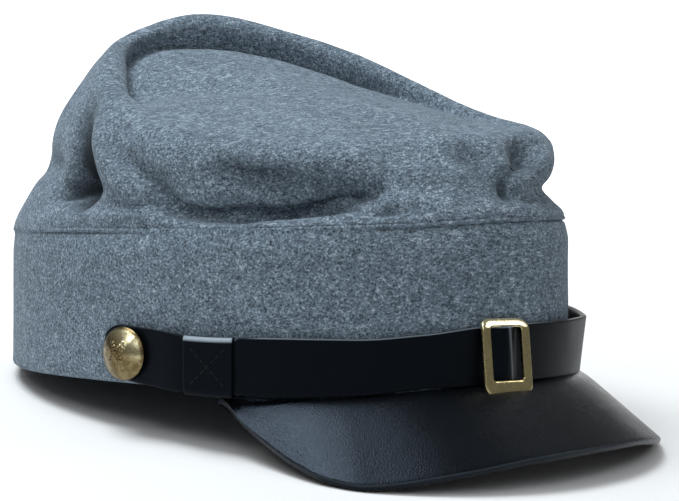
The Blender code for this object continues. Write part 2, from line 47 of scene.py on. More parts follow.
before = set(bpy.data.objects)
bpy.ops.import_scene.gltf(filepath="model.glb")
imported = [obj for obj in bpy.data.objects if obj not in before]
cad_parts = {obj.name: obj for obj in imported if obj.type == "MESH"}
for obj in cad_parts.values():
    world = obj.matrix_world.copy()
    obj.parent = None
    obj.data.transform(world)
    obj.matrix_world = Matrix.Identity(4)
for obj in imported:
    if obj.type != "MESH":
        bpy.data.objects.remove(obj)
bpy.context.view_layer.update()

MM = 0.001  # the tables below are written in millimetres and turned into metres here
UP = np.array([0.0, 0.0, 1.0])

# How the cap lies: tipped back onto the rear of its band and the corners of its peak.
REST_TILT = math.radians(-6.7048)
REST_SHIFT = Vector((0, 12.4217, 8.5589)) * MM
REST = Matrix.Translation(REST_SHIFT) @ Matrix.Rotation(REST_TILT, 4, "X")
FLOOR_GAP = 0.02 * MM  # its lowest points stay this far over the floor

BAND_LENGTH = 204 * MM  # front to back, outside
BAND_WIDTH = 175 * MM  # side to side, outside
CLOTH = 2.0 * MM

# --- sizes and tables ----------------------------------------------------------------------


def rows(kind, *numbers):
    """A table with named columns: one row of this kind for each tuple of numbers."""
    return tuple(kind(*row) for row in numbers)


# The two edges of the cloth band, by angle round the cap.
BandRow = namedtuple("BandRow", "angle bottom_z seam_z")
BAND_ROWS = rows(
    BandRow,
    (0, 1.0, 53.2),
    (11, 1.0, 52.4),
    (21, 0.8, 51.5),
    (32, 0.2, 50.8),
    (46, 0.9, 50.1),
    (56, 2.1, 49.8),
    (68, 3.2, 49.8),
    (80, 3.5, 49.9),
    (125, 3.0, 49.5),
    (175, 3.0, 48.5),
    (220, 3.2, 49.2),
    (265, 3.6, 50.8),
    (300, 2.4, 52.6),
    (326, 1.3, 53.5),
    (342, 1.5, 53.6),
)

# The turned hem at the band's foot: "out" is measured from the band's face, "up" from its foot.
HemRow = namedtuple("HemRow", "out up")
BAND_HEM = rows(
    HemRow,
    (-2.0, 1.6),
    (-1.9, 0.7),
    (-1.3, 0.1),
    (-0.7, 0.1),
    (-0.1, 0.6),
    (0.15, 1.5),
    (0.1, 3.2),
)
# The felled welt under the seam of the crown: "out" is its shape where it stands up and "flat"
# where it lies down, and "down" is measured from the seam.
WeltRow = namedtuple("WeltRow", "out flat down")
BAND_WELT = rows(
    WeltRow,
    (0.0, 0.0, 9.0),
    (-0.1, -0.1, 7.4),
    (-0.4, -0.4, 5.8),
    (-0.85, -0.85, 4.2),
    (-1.25, -1.2, 3.1),
    (-1.55, -1.45, 2.3),
    (-1.9, -1.55, 1.95),
    (-2.3, -1.6, 1.75),
    (-2.25, -1.65, 1.5),
    (-1.6, -1.7, 1.3),
    (-1.3, -1.75, 0.9),
    (-1.5, -1.9, 0.45),
    (-2.0, -2.1, 0.1),
    (-3.2, -3.2, 0.05),
)
WELT_FLAT = ((53, 26), (126, 22))  # where the seam lies flattest, and how far that reaches
WELT_UPRIGHT = 1.8  # how much further out the seam stands on the far sides and the back
WELT_CLOSE = (30, 52, 30)  # not so round this angle, this far, fading over this much
BAND_RINGS = 24  # rings of the mesh between the hem and the welt
BAND_SWELL = 0.1 * MM  # how far the face stands out just over the hem
BAND_INSIDE = 3.2 * MM  # from the face to the inside
BAND_INSIDE_RINGS = 12
BAND_INSIDE_WAVES = 0.6  # the inside is this much as uneven as the face

# Upright sections through the crown, from the band seam over the soft wall and the rolled edge
# to the seam of the top. "in" is measured inwards from the band and "r" outwards from the middle
# of the cap. skirt and puff push the cloth out between the seam and the tuck and between the
# crest and the lip.
Section = namedtuple(
    "Section", "angle skirt tuck_in tuck_z swell_in swell_z roll crest_r crest_z puff lip_r lip_z"
)
SECTIONS = rows(
    Section,
    (0, -0.4, 4.8, 58.6, 7.6, 69.0, 6.0, 86.0, 77.5, 0.8, 77.0, 80.0),
    (13, -0.4, 5.4, 58.4, 12.2, 67.0, 5.2, 79.6, 75.4, 0.8, 72.0, 78.2),
    (22, -0.2, 6.0, 58.0, 12.2, 66.4, 5.2, 79.2, 74.6, 0.8, 71.2, 77.7),
    (30, 0.6, 9.0, 56.8, 8.6, 64.0, 5.2, 82.4, 73.9, 0.8, 72.4, 77.4),
    (45, 0.8, 10.6, 53.8, 7.0, 64.0, 5.0, 83.4, 73.4, 0.8, 71.8, 77.0),
    (60, 0.7, 10.6, 55.0, 5.0, 65.0, 5.2, 80.8, 75.4, 0.8, 69.4, 79.0),
    (73, 1.0, 4.8, 56.6, 2.8, 66.5, 6.0, 77.0, 79.5, 0.8, 65.0, 82.6),
    (86, 1.0, 4.6, 57.4, 5.0, 69.5, 6.0, 72.5, 86.5, 1.2, 61.0, 86.6),
    (98, 1.2, 6.2, 59.8, 6.6, 72.0, 5.6, 68.6, 93.6, 2.2, 56.0, 89.6),
    (110, 0.6, 8.4, 66.0, 9.0, 74.4, 5.2, 63.8, 101.0, 3.2, 53.4, 92.3),
    (124, 0.2, 10.6, 72.6, 11.4, 77.4, 4.8, 59.2, 107.8, 3.0, 53.2, 96.5),
    (138, 0.2, 11.7, 72.4, 14.0, 77.4, 4.8, 59.4, 112.8, 3.0, 54.8, 103.4),
    (153, 0.8, 13.0, 70.0, 15.8, 79.0, 5.4, 61.2, 117.6, 3.0, 57.0, 110.4),
    (168, 2.0, 14.0, 67.0, 17.5, 81.0, 6.0, 62.0, 123.0, 3.0, 57.0, 115.8),
    (183, 2.0, 14.0, 66.0, 18.0, 84.0, 6.0, 62.0, 128.2, 3.1, 57.0, 117.7),
    (203, 2.0, 12.0, 68.0, 17.0, 86.0, 6.0, 62.0, 129.2, 3.6, 57.0, 117.3),
    (223, 2.0, 11.0, 68.0, 15.0, 86.0, 6.0, 64.0, 124.7, 4.2, 58.5, 114.0),
    (243, 1.5, 8.0, 66.0, 10.0, 82.0, 6.0, 66.0, 117.8, 3.9, 61.0, 107.6),
    (263, 1.5, 6.0, 64.0, 6.0, 77.0, 6.0, 70.0, 106.4, 2.5, 65.0, 99.3),
    (283, 1.2, 6.2, 64.0, 4.0, 74.0, 6.0, 76.0, 94.6, 1.5, 70.5, 91.0),
    (303, -0.3, 8.8, 64.0, 4.2, 73.4, 6.0, 82.5, 86.6, 1.4, 76.5, 85.6),
    (322, -0.5, 10.8, 63.6, 5.2, 73.6, 5.0, 85.8, 83.2, 0.8, 78.5, 83.4),
    (342, -0.8, 7.4, 62.4, 5.6, 72.0, 6.0, 86.6, 79.8, 0.8, 78.5, 81.5),
    (350, -0.6, 5.0, 60.6, 6.2, 70.8, 6.0, 86.4, 78.6, 0.8, 77.8, 80.7),
)
# The curve's stations, numbered from 0: seam, hem, skirt, tuck, hang, swell, shoulder, crest, brow,
# foot, lip, rim, flat and middle.
HEM, LIP, MIDDLE = 1, 10, 13
# Where the crown's seam lies: in from the band's face and up from its edge, in millimetres, each
# with what is added where the seam lies flat.
SEAM_IN = (1.8, 0.3)
SEAM_UP = (0.3, -0.35)
FULL_ROLL = (1.8 * MM, 1.6 * MM)  # from this puff on the roll leans over, in full this much later
PUFF_OUT = 0.72  # how much of its puff the brow stands out
FOOT_SHARE = 0.72  # how far the foot of the roll lies from the brow to the lip
TOP_SHARES = (0.965, 0.5)  # where the stations of the sunk top lie, from its middle to its edge
TOP_HOLE = 0.012  # and the ring round its middle point
TOP_DOME = 3.0 * MM  # how far the sunk top swells up in the middle
ROLL_DEEPER = 2.4 * MM  # how far the top sinks further behind the full part of the roll
CROWN_STEP = 1.35 * MM  # the mesh's spacing on the crown
RELAXING = 0.45  # how far one step draws a point towards its neighbours
OUTSIDE_RELAXED, INSIDE_RELAXED = 3, 8  # steps of that on either face of the cloth
INSIDE_STEP = 3  # the inside has one ring for this many outside
GROOVE = (0.25, 0.55)  # how many stations before the lip the groove is, and how many it is wide

# Creases pressed into the crown, and ridges where the depth is below 0. Each one runs from the
# wearer's right round to the front through its knots, given by angle and height on the wall.
# upper and lower are its half widths on its two sides, and hang pulls its upper lip down over it.
Knot = namedtuple("Knot", "angle height depth upper lower hang", defaults=(0,))
CREASE_KNOTS = {
    "main crease": (
        (70.5, 61.0, 0.8, 3.4, 3.0),
        (68.5, 59.2, 3.0, 3.2, 3.4, 0.4),
        (66.5, 57.6, 3.2, 2.8, 4.0, 1.0),
        (62, 56.9, 3.2, 2.0, 5.2, 2.0),
        (57, 56.6, 3.6, 2.0, 5.4, 2.4),
        (52, 56.0, 5.0, 2.6, 4.6, 2.6),
        (48, 54.8, 6.2, 3.4, 3.2, 2.2),
        (44, 54.0, 7.0, 4.0, 2.4, 2.2),
        (40.5, 54.2, 7.6, 4.4, 2.3, 2.0),
        (36.5, 55.6, 8.2, 4.6, 2.3, 2.0),
        (32.5, 57.6, 8.4, 4.3, 2.2, 2.0),
        (29, 59.2, 7.6, 3.9, 2.1, 1.6),
        (26, 60.7, 5.2, 3.2, 2.0, 1.0),
        (23.6, 61.8, 1.4, 2.4, 2.0, 0.2),
    ),
    "dimple": (
        (58, 69.4, 0.8, 4.6, 3.6),
        (55, 68.4, 4.0, 5.0, 5.0),
        (52, 67.4, 6.2, 5.4, 6.2),
        (48, 66.0, 6.4, 5.4, 6.6),
        (44, 64.6, 5.8, 5.2, 6.2),
        (40, 63.6, 5.2, 5.0, 5.6),
        (35, 63.2, 4.4, 4.6, 4.8),
        (30, 62.8, 2.2, 4.0, 3.8),
        (27, 62.2, 0.8, 3.6, 3.4),
    ),
    # This crease is barely pressed in: it is mostly painted shade.
    "crease end": (
        (37, 56.2, 0.2, 3.0, 2.2),
        (33, 57.9, 0.5, 3.2, 2.2),
        (29, 59.9, 0.5, 2.8, 2.0),
        (25.5, 61.4, 0.2, 2.2, 1.8),
    ),
    "upright crease": (
        (100.5, 90.0, 0.6, 3.2, 4.4),
        (99, 85.0, 2.6, 3.4, 4.8),
        (97.4, 80.0, 4.2, 4.2, 4.4),
        (95.8, 74.0, 6.0, 4.8, 4.2),
        (94.6, 68.5, 8.2, 5.2, 4.2),
        (93.8, 64.6, 9.6, 5.4, 4.2),
        (93.6, 62.6, 8.8, 5.4, 4.2),
    ),
    "pocket": (
        (105.5, 59.6, 1.0, 2.8, 1.5),
        (101.5, 60.5, 4.6, 3.6, 1.5),
        (96.5, 61.0, 7.8, 4.8, 1.5),
        (91, 60.9, 7.0, 4.6, 1.5),
        (87.5, 60.6, 2.2, 3.0, 1.5),
    ),
    "side ridge": (
        (94, 84.0, -0.6, 4.0, 4.0),
        (88, 76.0, -2.4, 4.0, 4.0),
        (83, 69.0, -3.0, 4.0, 4.0),
        (77.5, 62.6, -3.0, 4.0, 4.0),
        (71.5, 56.4, -1.6, 4.0, 3.4),
    ),
    "side hollow": (
        (84.5, 77.0, 0.6, 4.4, 4.0),
        (80.5, 72.4, 2.4, 4.4, 4.0),
        (76.5, 68.8, 3.8, 4.6, 4.0),
        (72.5, 65.0, 4.6, 4.8, 4.0),
        (69, 61.2, 4.2, 4.6, 4.0),
        (67, 58.4, 1.8, 4.0, 3.4),
    ),
    "back notch": (
        (150, 68.0, 1.0, 5.0, 4.0),
        (130, 70.6, 2.0, 4.0, 3.6),
        (117, 71.4, 2.4, 3.4, 3.0),
        (110, 70.2, 2.2, 2.8, 2.6),
        (106, 69.0, 0.6, 2.6, 2.6),
    ),
    "front hollow": (
        (2.0, 77.5, 1.4, 5.0, 5.0),
        (3.6, 72.5, 3.6, 5.4, 5.0),
        (3.6, 68.0, 3.4, 5.0, 4.4),
        (2.6, 64.5, 1.2, 4.0, 3.6),
    ),
    "front hook": (
        (-3.0, 64.6, 0.6, 2.0, 1.8),
        (-1.8, 62.8, 3.4, 1.9, 1.7),
        (-1.2, 60.9, 4.8, 1.9, 1.7),
        (-0.4, 59.2, 1.6, 1.9, 1.7),
    ),
    "front fold": (
        (-2.0, 60.6, 0.4, 1.7, 1.5),
        (-6.0, 61.2, 1.0, 1.8, 1.5),
        (-10.0, 61.9, 1.4, 2.0, 1.6),
        (-14.0, 63.0, 1.0, 2.2, 1.6),
    ),
    "front ridge": (
        (-2.0, 60.6, -0.6, 2.4, 2.0),
        (-4.8, 62.8, -3.2, 2.6, 2.2),
        (-9.0, 65.4, -4.2, 2.8, 2.6),
        (-13.5, 67.8, -3.8, 3.0, 2.8),
        (-19.0, 71.4, -1.0, 3.4, 3.0),
    ),
    "front dents": (
        (-19.0, 77.2, 1.4, 5.4, 3.4),
        (-14.5, 74.6, 5.0, 6.8, 3.8),
        (-10.5, 72.4, 6.0, 7.0, 3.8),
        (-7.0, 69.8, 5.0, 6.2, 3.6),
        (-4.0, 66.6, 2.6, 4.4, 3.2),
        (-1.8, 63.8, 1.6, 3.4, 2.8),
    ),
    "front shelf": (
        (-3.0, 59.0, 0.3, 1.4, 1.4),
        (-7.0, 59.0, 1.2, 1.4, 1.4),
        (-12.0, 59.3, 1.0, 1.4, 1.4),
        (-17.0, 60.0, 0.3, 1.4, 1.4),
    ),
    "small dent": (
        (29.5, 54.8, 0.8, 2.4, 2.0),
        (26.5, 54.9, 2.8, 2.6, 2.0),
        (23.0, 55.3, 2.4, 2.6, 2.0),
        (19.5, 55.6, 0.6, 2.4, 2.0),
    ),
    "back crease": (
        (209, 86.0, 1.0, 7.0, 7.0),
        (201, 74.0, 3.4, 7.0, 6.0),
        (195, 62.0, 1.0, 6.0, 6.0),
    ),
    "left crease": (
        (258, 82.0, 1.0, 7.0, 7.0),
        (250, 71.0, 3.4, 7.0, 6.0),
        (243, 60.0, 1.4, 6.0, 6.0),
    ),
    "left front crease": (
        (-70, 60.0, 1.0, 5.0, 5.0),
        (-76, 67.0, 2.8, 5.5, 5.0),
        (-82, 75.0, 1.0, 6.0, 6.0),
    ),
}
CREASES = {name: rows(Knot, *knots) for name, knots in CREASE_KNOTS.items()}
# Painted shade: how much darker the cloth's colour is painted in the bottom of each crease.
CREASE_SHADE = {
    "crease end": 0.4,
    "main crease": 0.05,
    "dimple": 0.38,
    "upright crease": 1.9,
    "pocket": 1.2,
    "side hollow": 0.3,
    "front hollow": 0.35,
    "front hook": 0.8,
    "front dents": 0.55,
    "small dent": 0.3,
}
ROLL_SHADE = 0.6  # painted shade in the groove behind the roll, likewise
CREASE_STEPS = 40  # points along each crease
CREASE_FALL = 1.7  # how steep a crease's sides are: 2 is a soft hollow
SHADE_FALL = 0.75  # how fast its shade goes with its depth: 1 is evenly
LIP_NEAR = 1.6  # the lip hangs lowest at the crease's half width divided by this
LIP_OUT = 0.35  # how far the lip comes out, as a share of how far it hangs

# Slow unevenness of soft cloth: the size of the waves and how far they push.
Wave = namedtuple("Wave", "size push")
CROWN_WAVES = (Wave(42, 1.1), Wave(17, 0.45), Wave(7, 0.14))
BAND_WAVES = (Wave(45, 0.7), Wave(14, 0.16))
WAVE_PLACE = (7.3, 2.1, 5.7)  # where in the noise they are taken, the first once for each wave

PEAK_LEATHER = 2.6 * MM
PEAK_END = 55  # angle of each end, either side of the front
PEAK_TURN_UP = 3.0 * MM  # how far its root climbs the band in front
PEAK_CLIMB = (1.25, 44, 0.8)  # how it climbs: in full to a quarter of 44 degrees, and how evenly
PEAK_BEND = 0.18  # share of the way out at which the peak turns down
PEAK_BEND_WIDE = 0.08
PEAK_UNDER = 1.5 * MM  # how far its root reaches in under the band
PEAK_GAP = 0.3 * MM  # and how far below the band it starts
PEAK_ROUNDING = 1.1 * MM  # how far its edge bulges out
PEAK_ROUNDING_STARTS = 1.6 * MM  # and how far from the edge the flat faces end
PEAK_EDGE_WORN_AND_LIT = (0.1, 0.06)  # edge colour on the upper corner of its rounding: partly real abrasion, partly painted highlight
PEAK_COLUMNS = 181
PEAK_RINGS = 34
# How far the peak's edge reaches out from the band, and its height, by angle from the front.
PeakRow = namedtuple("PeakRow", "angle reach edge_z")
PEAK_ROWS = rows(
    PeakRow,
    (0, 29.6, -13.5),
    (10, 30.0, -14.0),
    (21, 30.6, -16.5),
    (33, 29.8, -19.2),
    (38, 26.2, -17.6),
    (42, 20.0, -14.4),
    (46, 13.2, -10.0),
    (50, 7.4, -5.4),
    (55, 1.0, 0.9),
)

STRAP_LEATHER = 2.0 * MM
KEEPER_LEATHER = 1.0 * MM
# The strap's middle height and width, how far its back stands off the band, and how much its
# upper edge leans out beyond that.
StrapRow = namedtuple("StrapRow", "angle height width off flare")
STRAP_ROWS = rows(
    StrapRow,
    (-80, 14.4, 15.0, 0.3, 0.0),
    (-66, 14.2, 16.5, 1.2, 0.4),
    (-50, 13.0, 18.2, 3.2, 1.4),
    (-34, 11.4, 18.4, 3.0, 1.2),
    (-18, 11.8, 18.0, 1.4, 0.4),
    (-0.4, 12.6, 17.3, 0.4, 0.0),
    (1.4, 12.6, 16.6, 0.5, 0.0),
    (5, 12.6, 16.6, 2.8, 0.0),
    (8.6, 12.6, 16.6, 0.5, 0.0),
    (10.4, 12.3, 17.3, 0.4, 0.0),
    (20, 11.5, 15.7, 0.5, 0.0),
    (31, 10.1, 16.4, 0.5, 0.0),
    (47, 10.1, 17.3, 1.8, 0.0),
    (50.8, 10.3, 16.4, 1.8, 0.0),
    (52, 9.9, 15.0, 1.8, 0.0),
    (61, 10.4, 14.6, 1.8, 0.0),
    (62.2, 10.7, 16.8, 1.8, 0.0),
    (70, 12.1, 16.6, 0.6, 0.0),
    (80, 13.4, 15.8, 0.3, 0.0),
)
STRAP_END = 80
STRAP_ROUNDED = 7 * MM  # how long its rounded ends are
STRAP_BLUNT = 0.35  # and how wide their tips are, as a share of its width
STRAP_EDGE_WORN_AND_LIT = 0.45  # abraded colour on its upper corner: partly real abrasion, partly painted highlight
STRAP_EDGE_LIT_FROM, STRAP_EDGE_LIT_TO = -12, 50  # between these angles
# A painted highlight line along the strap's crest over the hidden bar, beside the slide: its angle
# at the foot, how far it leans, its width and strength.
STRAP_HIGHLIGHT_LINE = (3.1, 1.2, 0.28, 0.48)
STRAP_HIGHLIGHT_HEIGHT = 17 * MM  # the height over which it leans that far
BUTTON_ANGLE = 74.1
KEEPER_SPAN = (52, 61)  # from and to, round the band
KEEPER_GAP = 0.3 * MM  # between the strap and the keeper
STITCH_LENGTH = 1.5 * MM
STITCH_GAP = 0.5 * MM
STITCH_THICK = 0.22 * MM
STITCH_SIDES = 8
STITCH_LOW, STITCH_HIGH = 0.14, 0.86  # where the crossed rows end, as shares of the face

BUCKLE_ANGLE = 5
BUCKLE_HEIGHT = 12.3 * MM  # the middle of its window
BUCKLE_WIDTH = 19.0 * MM
BUCKLE_SIDE_BAR = 3.3 * MM
BUCKLE_OPENING = 15.6 * MM
BUCKLE_TOP_BAR = 2.9 * MM
BUCKLE_BOTTOM_BAR = 5.1 * MM
BUCKLE_CORNER = 3.6 * MM
BUCKLE_PLATE = 1.8 * MM
BUCKLE_OFF = 3.4 * MM  # back of the frame to the band
BUCKLE_LEAN = -1.5  # degrees, its foot towards the wearer's left
BUCKLE_TIP = 7  # degrees, its foot away from the band
BUCKLE_BENT = 0.5  # how steeply its top bar bends back
BUCKLE_BEND_SOFT = 0.5 * MM
BUCKLE_SQUARE = (0.7, 0.5)  # how square its bars are, across and deep: 1 is round
BUCKLE_CELLS = 24  # round each bar
# The bar behind the strap, from the band: its low and its high corner, and its rounding.
BUCKLE_BAR = ((-0.9 * MM, 0.5 * MM), (0.9 * MM, 2.3 * MM), 0.6 * MM)

# A button's profile under the edge of its dome, down to the foot of its shank.
ButtonRow = namedtuple("ButtonRow", "radius height")
BUTTON_ROWS = rows(
    ButtonRow,
    (7.72, 4.12),
    (7.92, 3.92),
    (8.0, 3.6),
    (7.9, 3.3),
    (7.5, 3.0),
    (6.8, 2.9),
    (1.6, 2.8),
    (1.6, 0.4),
)
BUTTON_DOME = 7.55 * MM
DOME_TOP = 7.4 * MM
DOME_EDGE = 4.3 * MM
BUTTON_COLUMNS = 144
# The ornament on the dome: how far each sprig leans, its stem, and its leaves.
SPRIG_LEAN = 38
STEM_WIDTH, STEM_REACH, STEM_HEIGHT = 0.32 * MM, 4.3 * MM, 0.26 * MM
LEAF_FROM, LEAF_TO, LEAF_STEP = -3.0, 4.1, 1.15  # along the stem, in millimetres
LEAF_ASIDE = 0.75 * MM
LEAF_TURN = (0.8, 0.6)  # cosine and sine of how far a leaf stands off its stem
LEAF_WIDTH, LEAF_LENGTH, LEAF_HEIGHT = 0.36 * MM, 0.95 * MM, 0.34 * MM

PICTURE = (679, 501)  # pixels of the picture that the camera matches
PICTURE_FOCUS = 1592.0  # pixels from the lens to the picture plane
PICTURE_AXIS = (285.0, 214.0)  # where the middle of the cap, at the camera's height, falls
CAMERA_HEIGHT = 54 * MM

COOL = (0.9, 0.96, 1)  # the colour of daylight
CAP_MIDDLE, CAP_FRONT = (0, 0, 0.06), (0, 0, 0.03)  # what the soft boxes look at
FRONT_BOX_OUT, FRONT_BOX_UP = 0.75, 0.7  # where the one over the camera stands, in metres
FLOOR_COLUMNS = 96
FLOOR_RINGS = (0.01, 0.6, 1.4, 2.1)  # their radii, in metres
FLOOR_CURVE = 0.4  # the radius of the curve behind them
FLOOR_TOP = 0.66  # how high the backdrop stands
FLOOR_BACK = (1.6, 62)  # its share of that height at the back, and the degrees that take off one


# --- curves --------------------------------------------------------------------------------


def facing(angle):
    """The level unit vector that points out of the cap at this angle, in degrees."""
    turn = np.radians(angle)
    return np.stack([-np.sin(turn), -np.cos(turn), np.zeros_like(turn)], -1)


def place(angle, radius, height):
    """A point of the upright cap, in metres."""
    return facing(angle) * np.asarray(radius)[..., None] + UP * np.asarray(height)[..., None]


def band_radius(angle):
    """From the middle of the cap to the outside of its oval band."""
    turn = np.radians(angle)
    half_length = BAND_LENGTH / 2
    half_width = BAND_WIDTH / 2
    return half_length * half_width / np.hypot(
        half_width * np.cos(turn), half_length * np.sin(turn)
    )


def turned_from(angle, middle):
    """How far an angle is turned from another one, from -180 to 180."""
    return np.mod(angle - middle + 180, 360) - 180


def eased(share):
    """A share from 0 to 1 that starts and ends slowly."""
    return share * share * (3 - 2 * share)


def lying_down(angle):
    """How flat the seam of the crown lies at this angle, from 0 to 1."""
    flat = 0
    for middle, reach in WELT_FLAT:
        flat = np.maximum(flat, np.exp(-((turned_from(angle, middle) / reach) ** 4)))
    return flat


def standing_out(angle):
    """How far the seam stands out at this angle, in metres: little at the front."""
    middle, reach, fading = WELT_CLOSE
    share = np.clip((np.abs(turned_from(angle, middle)) - reach) / fading, 0, 1)
    return eased(share) * WELT_UPRIGHT * MM


def band_outward(angle):
    """The direction, as an angle, in which the oval band faces at this angle."""
    turn = math.radians(angle)
    lean = (BAND_LENGTH / BAND_WIDTH) ** 2
    return math.degrees(math.atan2(lean * math.sin(turn), math.cos(turn)))


def cubic(first, leaving, last, arriving, t):
    """A cubic from the first place to the last, with these slopes at its ends."""
    return (
        first * (1 + 2 * t) * (1 - t) ** 2
        + leaving * t * (1 - t) ** 2
        + last * eased(t)
        + arriving * t * t * (t - 1)
    )


def through(knots, values, slopes, at):
    """A smooth curve through the values at the knots, with these slopes."""
    i = np.clip(np.searchsorted(knots, at, side="right") - 1, 0, len(knots) - 2)
    span = knots[i + 1] - knots[i]
    t = (at - knots[i]) / span
    return cubic(values[i], slopes[i] * span, values[i + 1], slopes[i + 1] * span, t)


def table_column(table, column):
    """The angles of a table's rows, and one of its columns in metres."""
    knots = np.array([row.angle for row in table], float)
    return knots, np.array([getattr(row, column) for row in table], float) * MM


def round_cap(table, column, angle):
    """A column of a table, in metres, on a smooth curve that closes round the cap."""
    knots, values = table_column(table, column)
    knots = np.concatenate([knots[-2:] - 360, knots, knots[:3] + 360])
    values = np.concatenate([values[-2:], values, values[:3]])
    return through(knots, values, np.gradient(values, knots), np.mod(angle, 360))


def steady(table, column, angle):
    """A column of an open table, in metres, on a curve that never swings past its rows."""
    knots, values = table_column(table, column)
    rise = np.diff(values) / np.diff(knots)
    slopes = np.zeros_like(values)
    same_way = rise[1:] * rise[:-1] > 0
    both = np.where(same_way, rise[1:] + rise[:-1], 1)
    slopes[1:-1] = np.where(same_way, 2 * rise[1:] * rise[:-1] / both, 0)
    return through(knots, values, slopes, angle)


def round_angles(count):
    """Even angles all the way round the cap."""
    return np.arange(count) * 360 / count


# --- the crown's surface -------------------------------------------------------------------


def rolled_over(angle):
    """How far the roll leans over the sunk top at this angle, from 0 to 1."""
    start, reach = FULL_ROLL
    return np.clip((round_cap(SECTIONS, "puff", angle) - start) / reach, 0, 1)


def section_stations(angle):
    """The stations of the crown's section at each angle, as points, stations first."""
    at = {name: round_cap(SECTIONS, name, angle) for name in Section._fields[1:]}
    band = band_radius(angle)
    seam_z = round_cap(BAND_ROWS, "seam_z", angle)
    tuck_r = band - at["tuck_in"]
    swell_r = band - at["swell_in"]
    lies = lying_down(angle)
    seam_in, seam_up = (at_rest + more * lies for at_rest, more in (SEAM_IN, SEAM_UP))
    hem = band - seam_in * MM + standing_out(angle)
    hang = np.where(swell_r > tuck_r, 0.55, 0.35)  # the swell hangs over a deep tuck
    slope_r = at["lip_r"] - at["crest_r"]
    slope_z = at["lip_z"] - at["crest_z"]
    puff = PUFF_OUT * at["puff"] / np.hypot(slope_r, slope_z)
    brow = place(
        angle,
        at["crest_r"] + slope_r / 2 + slope_z * puff,
        at["crest_z"] + slope_z / 2 - slope_r * puff,
    )
    rolled = rolled_over(angle)[:, None]
    edge = place(angle, at["lip_r"], at["lip_z"]) - UP * ROLL_DEEPER * rolled
    lip = edge + (facing(angle) * 2.2 * MM - UP * 1.2 * MM) * rolled
    foot = brow + FOOT_SHARE * (lip - brow) - facing(angle) * 0.2 * MM * rolled
    hub = edge.mean(axis=0)
    spread = edge - hub
    return np.stack(
        [
            place(angle, hem - 0.2 * MM + 0.15 * standing_out(angle), seam_z - 0.8 * MM),
            place(angle, hem, seam_z + seam_up * MM),
            place(angle, (band + tuck_r) / 2 + at["skirt"], (seam_z + at["tuck_z"]) / 2),
            place(angle, tuck_r, at["tuck_z"]),
            place(
                angle,
                tuck_r + hang * (swell_r - tuck_r),
                at["tuck_z"] + 0.22 * (at["swell_z"] - at["tuck_z"]),
            ),
            place(angle, swell_r, at["swell_z"]),
            place(angle, at["crest_r"] + at["roll"], at["crest_z"] - at["roll"]),
            place(angle, at["crest_r"], at["crest_z"]),
            brow,
            foot,
            lip,
            *(hub + spread * share + UP * TOP_DOME * (1 - share**2) for share in TOP_SHARES),
            hub + spread * TOP_HOLE + UP * TOP_DOME,
        ]
    )


def station_slopes(stations):
    """Tangents at the stations, weighted so that the curve does not swing past close ones."""
    step = np.diff(stations, axis=0)
    length = np.linalg.norm(step, axis=-1, keepdims=True)
    way = step / length
    inner = (way[1:] * length[:-1] + way[:-1] * length[1:]) / (length[:-1] + length[1:])
    return np.concatenate([way[:1], inner, way[-1:]]), length


def wall_points(angle, stations_up):
    """Points on the smooth crown through the stations, at fractional stations."""
    stations = section_stations(angle)
    slopes, length = station_slopes(stations)
    rings = []
    for station in stations_up:
        i = min(int(station), len(stations) - 2)
        leaving, arriving = slopes[i] * length[i], slopes[i + 1] * length[i]
        rings.append(cubic(stations[i], leaving, stations[i + 1], arriving, station - i))
    return np.stack(rings)


def even_stations(spacing):
    """Fractional stations whose rings lie about this far apart."""
    stations = section_stations(round_angles(48))
    gaps = np.linalg.norm(np.diff(stations, axis=0), axis=-1).mean(axis=1)
    pieces = [np.arange(count) / count for count in np.ceil(gaps / spacing).astype(int)]
    return np.concatenate([*(i + piece for i, piece in enumerate(pieces)), [MIDDLE]])


def grid_normals(grid):
    """Outward normals of a grid of points that closes round the cap."""
    along = np.roll(grid, -1, axis=1) - np.roll(grid, 1, axis=1)
    up = np.gradient(grid, axis=0)
    normal = np.cross(up, along)
    return normal / np.maximum(np.linalg.norm(normal, axis=-1, keepdims=True), 1e-12)


def crease_line(knots):
    """The points of a crease on the smooth wall, and its knots' other columns at each point."""
    share = np.linspace(0, len(knots) - 1, CREASE_STEPS)
    columns = np.array(knots, float).T
    index = np.arange(len(knots))
    angle, height, *others = [
        through(index, column, np.gradient(column), share) for column in columns
    ]
    wall = wall_points(angle, np.linspace(HEM, LIP, 160))
    nearest = np.abs(wall[:, :, 2] - height * MM).argmin(axis=0)
    return wall[nearest, np.arange(CREASE_STEPS)], [other * MM for other in others]


def creased(grid):
    """The grid with every crease pressed in along its line, and how much painted shade each point
    gets.
    """
    normals = grid_normals(grid)
    pushed = grid.copy()
    shade = np.zeros(grid.shape[:2])
    for name, knots in CREASES.items():
        line, (depth, upper, lower, hang) = crease_line(knots)
        near = np.linalg.norm(grid[:, :, None, :] - line[None, None], axis=-1)
        nearest = near.argmin(axis=-1)
        away = near.min(axis=-1)
        travel = np.gradient(line, axis=0)[nearest]
        above = (np.cross(normals, travel) * (grid - line[nearest])).sum(axis=-1) > 0
        reach = away / np.where(above, upper[nearest], lower[nearest])
        press = depth[nearest] * np.exp(-(reach**CREASE_FALL))
        lip = np.where(above, reach * np.exp(1 - LIP_NEAR * reach) * LIP_NEAR, 0)
        drop = hang[nearest] * lip
        pushed += normals * (LIP_OUT * drop - press)[..., None] - UP * drop[..., None]
        dark = CREASE_SHADE.get(name, 0) * np.maximum(press / depth.max(), 0) ** SHADE_FALL
        shade = np.maximum(shade, np.minimum(dark, 1))
    return pushed, shade


def relaxed(grid, times):
    """The grid with every point drawn towards its neighbours, to round off tight places."""
    for _ in range(times):
        beside = np.roll(grid, 1, axis=1) + np.roll(grid, -1, axis=1)
        drawn = grid.copy()
        drawn[1:-1] = (grid[2:] + grid[:-2] + beside[1:-1]) / 4
        grid = (1 - RELAXING) * grid + RELAXING * drawn
    return grid


